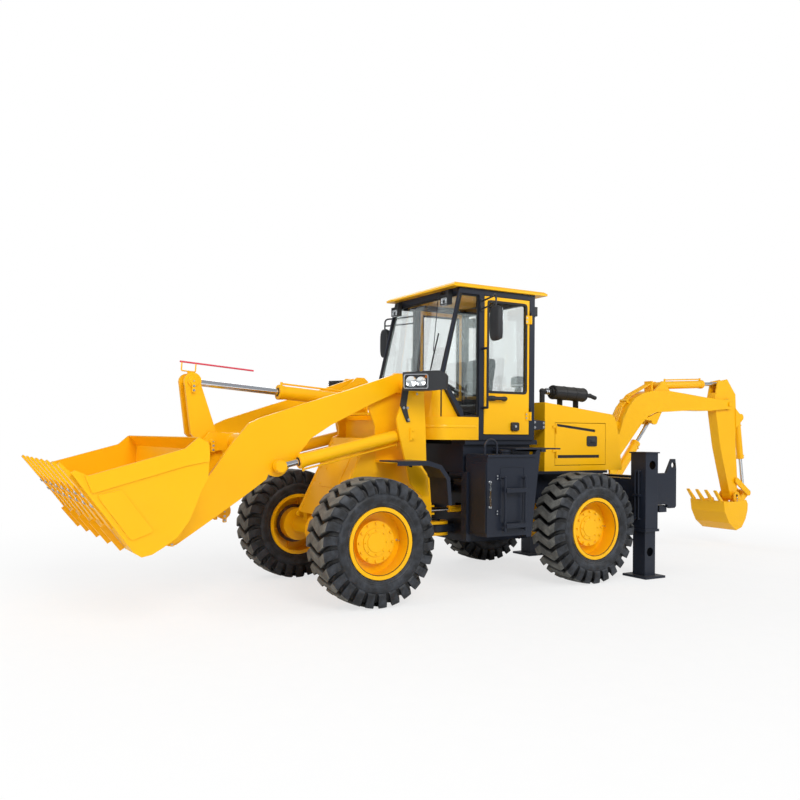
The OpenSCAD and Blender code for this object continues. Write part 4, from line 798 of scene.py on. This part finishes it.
corners = [P(back_x - 0.001, y, z) for y, z in rectangle(-0.538, 0.538, 2.012, top + 0.018)]
screens.append(strip(corners, 0.040, (-1, 0, 0), 0.026, 0.008))
piece("quarter_glass_seals", quarter, seal)
piece("screen_seals", screens, seal)

# -------- cowl
# The cowl is pressed steel sheet. Its upper sheet laps over the lower one and is welded to it,
# which leaves a fold along the lower band.

corner = np.linspace(0, math.pi / 2, 12)[:, None]
fold_radius = 0.200
bend = np.concatenate([0.240 + fold_radius * np.sin(corner),
                       cab_half - fold_radius + fold_radius * np.cos(corner)], 1)
half_fold = np.concatenate([[(-0.060, cab_half)], bend, [(0.440, 0.0)]])
fold = np.concatenate([half_fold, half_fold[-2::-1] * (1, -1)])
out = -unit(np.stack([np.gradient(fold[:, 1]), -np.gradient(fold[:, 0])], 1))
# how far each row stands out of the sheet, and its height
lap = [(-0.001, 1.640), (0.0045, 1.641), (0.006, 1.646), (0.0045, 1.660), (-0.001, 1.672)]
rows = np.stack([np.concatenate([fold + out * d, np.full((len(fold), 1), z)], 1) for d, z in lap], 1)
points, quads = surface(rows + (STEERING_PIN, 0, 0))
n, m = rows.shape[:2]
ends = [list(range(m)), [(n - 1) * m + k for k in range(m)][::-1]]
inside = [[k * m, k * m + m - 1, (k + 1) * m + m - 1, (k + 1) * m] for k in range(n - 1)]
piece("cowl_fold", [(points, quads.tolist() + ends + inside)], yellow)

# -------- wiper
# One bent arm, coated black, with a sprung blade that has a rubber edge. A motor in the header
# drives it, and it is parked at the side of the screen.

pivot = P(0.172, 0.330, top + 0.022)
tip = P(0.292, 0.395, 2.420)
arm = [pivot, pivot + face * 0.030, pivot + face * 0.034 + lean * 0.06, tip + face * 0.030]
boss = turned(pivot - face * 0.012, face, [(0, 0.020), (0.018, 0.018), (0.034, 0.012), (0.036, 0)], 24)
piece("wiper_arm", [tube(bent(arm, 0.020), 0.0045, 10), boss], plastic)
blade = [tip + face * 0.016 - lean * 0.20, tip + face * 0.019, tip + face * 0.016 + lean * 0.20]
rubber_edge = tube([tip + face * 0.009 - lean * 0.20, tip + face * 0.009 + lean * 0.20], 0.003, 6)
piece("wiper_blade", [tube(bent(blade, 0.08), 0.0055, 8), rubber_edge], seal)

# -------- mirrors
# A moulded shell holds the silvered glass. It hangs in a loop of bent steel tube, coated black
# and clamped to the front side post.

mirror_x, mirror_y = 0.035, 1.050
shell, face_glass, loops = [], [], []
for s in (1, -1):
    at = P(mirror_x, s * mirror_y, 2.661)
    shell.append(rounded(at, (0.028, 0.085, 0.171), 3.6, 20, 40))
    face_glass.append(rounded(at - (0.0265, 0, 0), (0.0030, 0.074, 0.158), 8, 12, 40))
    reach = [(-0.125, 0.630), (-0.020, 0.960), (mirror_x, mirror_y)]
    upper = [P(x, s * y, 2.950) for x, y in reach] + [P(mirror_x, s * mirror_y, 2.800)]
    lower = [P(x, s * y, 2.870) for x, y in reach]
    clamp = panel(-0.150, -0.100, s * 0.6224, 2.845, 2.975)
    loops += [tube(bent(upper, 0.050), 0.0095, 14), tube(bent(lower, 0.040), 0.0085, 14),
              slab(ring_path(clamp, 0.012), (0, s, 0), 0.013)]
mirror_glass, tree, shader = new_finish("silvered_mirror", "#DCE3E6", 0.03, Metallic=1.0)
gloss(tree, shader, texture(tree, 9.0, 4.0), 0.02, 0.08)
made = piece("mirror_shells", shell + loops, plastic)
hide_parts("mirrors")
piece("mirror_faces", face_glass, mirror_glass)

# -------- doors
# Each door has a moulded pull handle with a plated push button, and a lock in a raised plate
# below it. Zinc plated bolts hold its hinges.

grip_z, lock_z = 1.950, 1.660
for s, body in [(1, "door_left"), (-1, "door_right")]:
    y = s * cab_half
    out = (0, s, 0)
    grip = [P(x, y + s * d, grip_z) for x, d in
            [(-0.430, 0), (-0.425, 0.040), (-0.330, 0.044), (-0.235, 0.040), (-0.230, 0)]]
    made = [tube(bent(grip, 0.020), 0.0185, 16), rounded(P(-0.250, y + s * 0.014, grip_z), (0.045, 0.022, 0.027), 5),
            rounded(P(-0.420, y + s * 0.010, grip_z), (0.024, 0.016, 0.024), 5),
            rounded(P(-0.565, y + s * 0.008, lock_z), (0.052, 0.018, 0.046), 7),
            strip(panel(-0.607, -0.523, y + s * 0.024, 1.624, 1.696), 0.010, out, 0.010, 0.005)]
    piece("door_handle_" + body, made, plastic, body)
    key = [turned(P(-0.565, y + s * 0.025, lock_z), out, [(0, 0.013), (0.005, 0.013), (0.007, 0.010)], 24),
           turned(P(-0.250, y + s * 0.034, grip_z), out, [(0, 0.011), (0.006, 0.010), (0.007, 0)], 20)]
    low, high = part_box(body)
    heights = [low[2] + d for d in (0.175, 0.215)] + [high[2] - d for d in (0.225, 0.185)]
    spots = [P(-0.725, y + s * 0.008, z) for z in heights]
    piece("door_locks_" + body, key + bolts(spots, out, 0.007), zinc, body)

# -------- cab bracket
# A steel plate on each rear post of the cab, sprayed with it, holds the front corner of the
# engine's hood. Four zinc plated bolts fix it.

made, screws = [], []
for s in (1, -1):
    corners = [P(x, s * y, z) for x, y, z in [(-0.836, 0.600, 1.625), (-1.075, 0.527, 1.640),
                                              (-1.075, 0.527, 1.725), (-0.836, 0.600, 1.740)]]
    out = unit(np.array([0.29, s * 1.0, 0]))
    made.append(slab(corners, out, 0.007))
    spots = [P(-0.870, s * 0.5985, z) for z in (1.655, 1.712)] + [P(-1.040, s * 0.546, z) for z in (1.66, 1.705)]
    screws += bolts(spots, out, 0.010)
piece("hood_corner_brackets", made, charcoal)
piece("hood_corner_bolts", screws, zinc)

# -------- hood
# Each side door of the hood has a moulded paddle latch in a black frame, and flat black sheets
# behind its slots as painted shade. A moulded coolant cap stands on top.

for s, body in [(1, "hood_door_left"), (-1, "hood_door_right")]:
    y = s * 0.520
    at = P(-1.790, y, 1.508)
    corners = [at + (x, 0, z) for x, z in rectangle(-0.070, 0.070, -0.050, 0.050)]
    made = [strip(corners, 0.014, (0, s, 0), 0.018, 0.008),
            rounded(at + (0.0, s * 0.003, 0), (0.062, 0.006, 0.042), 8),
            rounded(at + (-0.010, s * 0.010, 0), (0.040, 0.007, 0.018), 5)]
    piece("hood_latch_" + body, made, plastic, body)
    # Painted shade: flat black sheets behind the slots
    inside = s * 0.5137
    slots = [panel(-1.930, -1.255, inside, 1.303, 1.367),
             outline(inside, [(-1.245, 1.657), (-1.245, 1.714), (-1.862, 1.655), (-1.862, 1.596)])]
    piece("slot_shade_sheets_" + body, [slab(slot, (0, -s, 0), 0.0015) for slot in slots], heatproof, body)
cap = [(-0.02, 0.045), (0.012, 0.045), (0.014, 0.052), (0.034, 0.052), (0.038, 0.046)]
piece("coolant_cap", [turned(P(-1.480, -0.020, 1.905), (0, 0, 1), cap, 36)], plastic)

# -------- muffler clamps
# Zinc plated steel bands clamp the joints of the inlet pipe and the tail pipe.
# Each is drawn tight by one screw.

screw = [(0, 0.004), (0.028, 0.004), (0.028, 0.0065), (0.034, 0.0065)]
clamps, clamp_screws = [], []
inlet_y, inlet_r, tail_z, tail_r = 0.200, 0.0325, 2.168, 0.0875
for x, z in [(-1.385, 2.0752), (-1.410, 2.0745)]:
    clamps.append(turned(P(x, inlet_y, z), (-1, 0, 0.04), [(-0.008, inlet_r), (0.008, inlet_r)], 36))
    clamp_screws.append(turned(P(x, inlet_y - 0.014, z + inlet_r + 0.004), (0, 1, 0), screw, 10))
clamps.append(turned(P(-1.380, -0.280, tail_z), (0, 0, 1), [(-0.010, tail_r), (0.010, tail_r)], 48))
clamp_screws.append(turned(P(-1.395, -0.188, tail_z), (1, 0, 0), screw, 10))
piece("pipe_clamps", clamps, zinc)
piece("pipe_clamp_screws", clamp_screws, zinc)

# -------- tanks
# The side tanks are welded boxes. On each are a clear sight tube in two plated fittings, a door
# on two hinges, a filler cap, and treads with studs for grip.

fitting = [(0, 0.013), (0.012, 0.013), (0.014, 0.010), (0.030, 0.010), (0.032, 0)]
filler_cap = [(0, 0.058), (0.018, 0.058), (0.020, 0.066), (0.042, 0.066), (0.047, 0.060)]
stud = turned((0, 0, -0.001), (0, 0, 1), [(0, 0.0042), (0.004, 0.0030), (0.0045, 0)], 8)
stud_grid = np.meshgrid(np.linspace(-0.390, -0.150, 13), [0.998, 1.010, 1.022], indexing="ij")
stud_x, stud_y = (line.ravel() for line in stud_grid)
hinge_x, sight_x = -0.112, 0.020
black_parts, bright, sight = [], [], []
for s in (1, -1):
    out = (0, s, 0)
    y = s * 0.950
    door = outline(y, [(-0.120, 0.700), (-0.120, 1.250), (-0.420, 1.250), (-0.400, 0.700)])
    black_parts.append(strip(door, 0.020, out, 0.010, 0.004))
    for z in (0.80, 1.15):
        hinge = P(hinge_x, y + s * 0.006, z - 0.030)
        black_parts.append(turned(hinge, (0, 0, 1), [(0, 0.008), (0.060, 0.008)], 14))
        black_parts.append(slab(panel(hinge_x, -0.060, y, z - 0.026, z + 0.026), out, 0.005))
        bright += bolts([P(-0.076, y + s * 0.005, z + d) for d in (-0.014, 0.014)], out, 0.006)
    sight.append(tube([P(sight_x, y + s * 0.018, 0.86), P(sight_x, y + s * 0.018, 1.10)], 0.008, 14))
    for z in (0.855, 1.105):
        bright.append(turned(P(sight_x, y - s * 0.004, z), out, fitting, 6))
    black_parts.append(turned(P(-0.300, s * 0.800, 1.374), (0, 0, 1), filler_cap, 40))
    for z in (0.690, 1.040):
        places = np.stack([STEERING_PIN + stud_x, s * stud_y, np.full(len(stud_x), z)], -1)
        black_parts.append(array(stud, places))
clear_tube, tree, shader = new_finish("clear_pvc_tube", "#E6EDE4", 0.06, Transmission_Weight=0.9, IOR=1.5, Alpha=0.5)
level = add(tree, "SeparateXYZ", Vector=add(tree, "TexCoord").outputs["Object"])
full = add(tree, "Math", {"operation": "LESS_THAN", 1: 1.02}, _0=level.outputs["Z"])
mottle(tree, shader, full.outputs[0], "#EEF3EE", "#B8862C")
piece("tank_fittings", black_parts, charcoal)
piece("tank_bolts", bright, zinc)
piece("sight_tubes", sight, clear_tube)

# -------- wheels
# Inside each rim are a cast brake disc and six ribs. The lock ring lies at the rim's edge, beside
# the valve, with a thin black ring in the gap under it as painted shade.

iron, tree, shader = new_finish("machined_cast_disc", "#4A4743", 0.42, Metallic=0.85)
mottle(tree, shader, texture(tree, 90.0, 3.0), "#3A3734", "#6A5546")
valve = [(-0.002, 0.010), (0.004, 0.009), (0.006, 0.0045), (0.034, 0.0045), (0.036, 0.006), (0.046, 0.006),
         (0.047, 0)]
for name, x, s in wheels:
    hub = P(x, s * 0.8785, tyre_radius)
    inward = np.array([0, -s, 0])
    disc = turned(hub, inward, [(0.060, 0.205), (0.0615, 0.207), (0.0725, 0.207), (0.074, 0.205)], 64)
    piece("brake_disc_" + name, [disc], iron, "wheel_" + name, smooth=30)
    one, two = across(inward)
    ribs = []
    for k in range(6):
        t = k * math.pi / 3 + 0.3
        way = math.cos(t) * one + math.sin(t) * two
        wide = np.cross(way, inward) * 0.006
        ribs.append(slab([hub + way * r + inward * d - wide for r, d in
                          [(0.142, 0.009), (0.288, 0.009), (0.288, 0.016), (0.142, 0.054)]], wide, 0.012))
    piece("rim_ribs_" + name, ribs, yellow, "wheel_" + name)
    stem = hub + one * 0.262 - inward * 0.011
    piece("valve_" + name, [turned(stem, -inward, valve, 16)], zinc, "wheel_" + name)
    # Painted shade: a thin black ring in the gap at the lock ring's edge
    gap_shade_ring = circle(hub - inward * 0.1725, inward, 0.2865, 0, 2 * math.pi, 96)
    piece("rim_gap_shade_" + name, [tube(gap_shade_ring, 0.0030, 8)], seal, "wheel_" + name, smooth=60)
    lock = circle(hub - inward * 0.168, inward, 0.296, 0.2, 2 * math.pi - 0.06, 96)
    piece("lock_ring_" + name, [tube(lock, 0.0065, 10)], yellow, "wheel_" + name, smooth=60)

# -------- axles
# The cast housing in the middle of each axle has a cover on either side, held by a ring of
# sixteen bolts, and a drain plug below. All of it is sprayed yellow.

bolt_circle = 0.178
for body, x in [("front_frame", axle_x), ("rear_frame", -axle_x)]:
    made, screws = [], []
    for s in (1, -1):
        middle = P(x, s * 0.1195, tyre_radius)
        made.append(turned(middle, (0, s, 0), [(-0.004, 0.196), (0.010, 0.196), (0.014, 0.190)], 64))
        t = np.arange(16)[:, None] * math.pi / 8
        ring = bolt_circle * np.concatenate([np.cos(t), 0 * t, np.sin(t)], 1)
        screws += bolts(middle + (0, s * 0.014, 0) + ring, (0, s, 0), 0.008)
    plug = P(x, 0, tyre_radius - 0.188)
    made.append(turned(plug, (0, 0, -1), [(-0.004, 0.024), (0.008, 0.024), (0.010, 0.020)], 6))
    piece("axle_covers_" + body, made, yellow, body)
    piece("axle_bolts_" + body, screws, yellow, body)

# -------- level rod
# A red enamelled rod over the tilt cylinder shows the bucket's angle. It rides on a stand of
# bent rod, which a foot holds on the tilt rod's eye.

red, tree, shader = new_finish("red_indicator_enamel", "#D8324A", 0.35)
mottle(tree, shader, texture(tree, 130.0, 4.0), "#D22B44", "#E4566A")
eye = P(2.762, 0, 2.040)
way = unit(eye - P(1.000, 0, 1.905))
lift = facing(np.cross((0, 1, 0), way), 2)
rod = tube([eye + way * 0.108 + lift * 0.176, eye - way * 0.615 + lift * 0.176], 0.0085, 14)
stand = [eye + way * along + lift * high for along, high in
         [(0.088, 0.176), (0.088, 0.094), (-0.045, 0.094), (-0.045, 0.176)]]
foot = [eye + way * along + lift * high - (0, 0.006, 0) for along, high in
        rectangle(-0.030, 0.030, 0.040, 0.096)]
piece("level_rod", [rod], red, "tilt_rod")
piece("level_stand", [tube(bent(stand, 0.012), 0.0065, 12), slab(foot, (0, 1, 0), 0.012)], yellow, "tilt_rod")

# -------- loader bucket
# Welded on the shell: a band along the top of each side, a patch at its worn corner, and ribs
# under the floor. Two nuts hold each tooth on the edge.

bucket_half, teeth = 1.146, 8
plates, nuts = [], []
band = [(3.900, 1.256), (3.870, 1.250), (3.149, 1.447), (3.048, 1.534), (2.972, 1.495), (2.953, 1.434),
        (2.956, 1.345), (3.140, 1.312), (3.845, 1.118)]
patch = [(3.813, 1.104), (3.560, 0.755), (3.385, 0.815), (3.632, 1.142)]
for s in (1, -1):
    y = s * bucket_half
    plates.append(slab(ring_path(outline(y, band), 0.006, 3), (0, s, 0), 0.012))
    plates.append(slab(ring_path(outline(y, patch), 0.030), (0, s, 0), 0.010))
# Ribs under the floor, from the shanks of the teeth to the heel
rib = [(3.700, 0.862), (3.550, 0.674), (3.585, 0.652), (3.735, 0.836)]
ribs = [slab(outline(y - 0.0125, rib), (0, 1, 0), 0.025) for y in np.arange(-2, 3) * 0.450]
# Each tooth's shank is held by two nuts from below
shank_low, shank_high = P(3.790, 0, 0.975), P(4.075, 0, 1.330)
shank_out = facing(np.cross(unit(shank_high - shank_low), (0, 1, 0)), 0)
for k in range(teeth):
    y = -bucket_half + 0.085 + k * (2 * bucket_half - 0.170) / (teeth - 1)
    nuts += [shank_low + (shank_high - shank_low) * share + (0, y, 0) for share in (0.14, 0.36)]
piece("bucket_bands", plates, yellow, "loader_bucket")
piece("bucket_ribs", ribs, yellow, "loader_bucket")
piece("tooth_nuts", bolts(nuts, shank_out, 0.018), zinc, "loader_bucket")
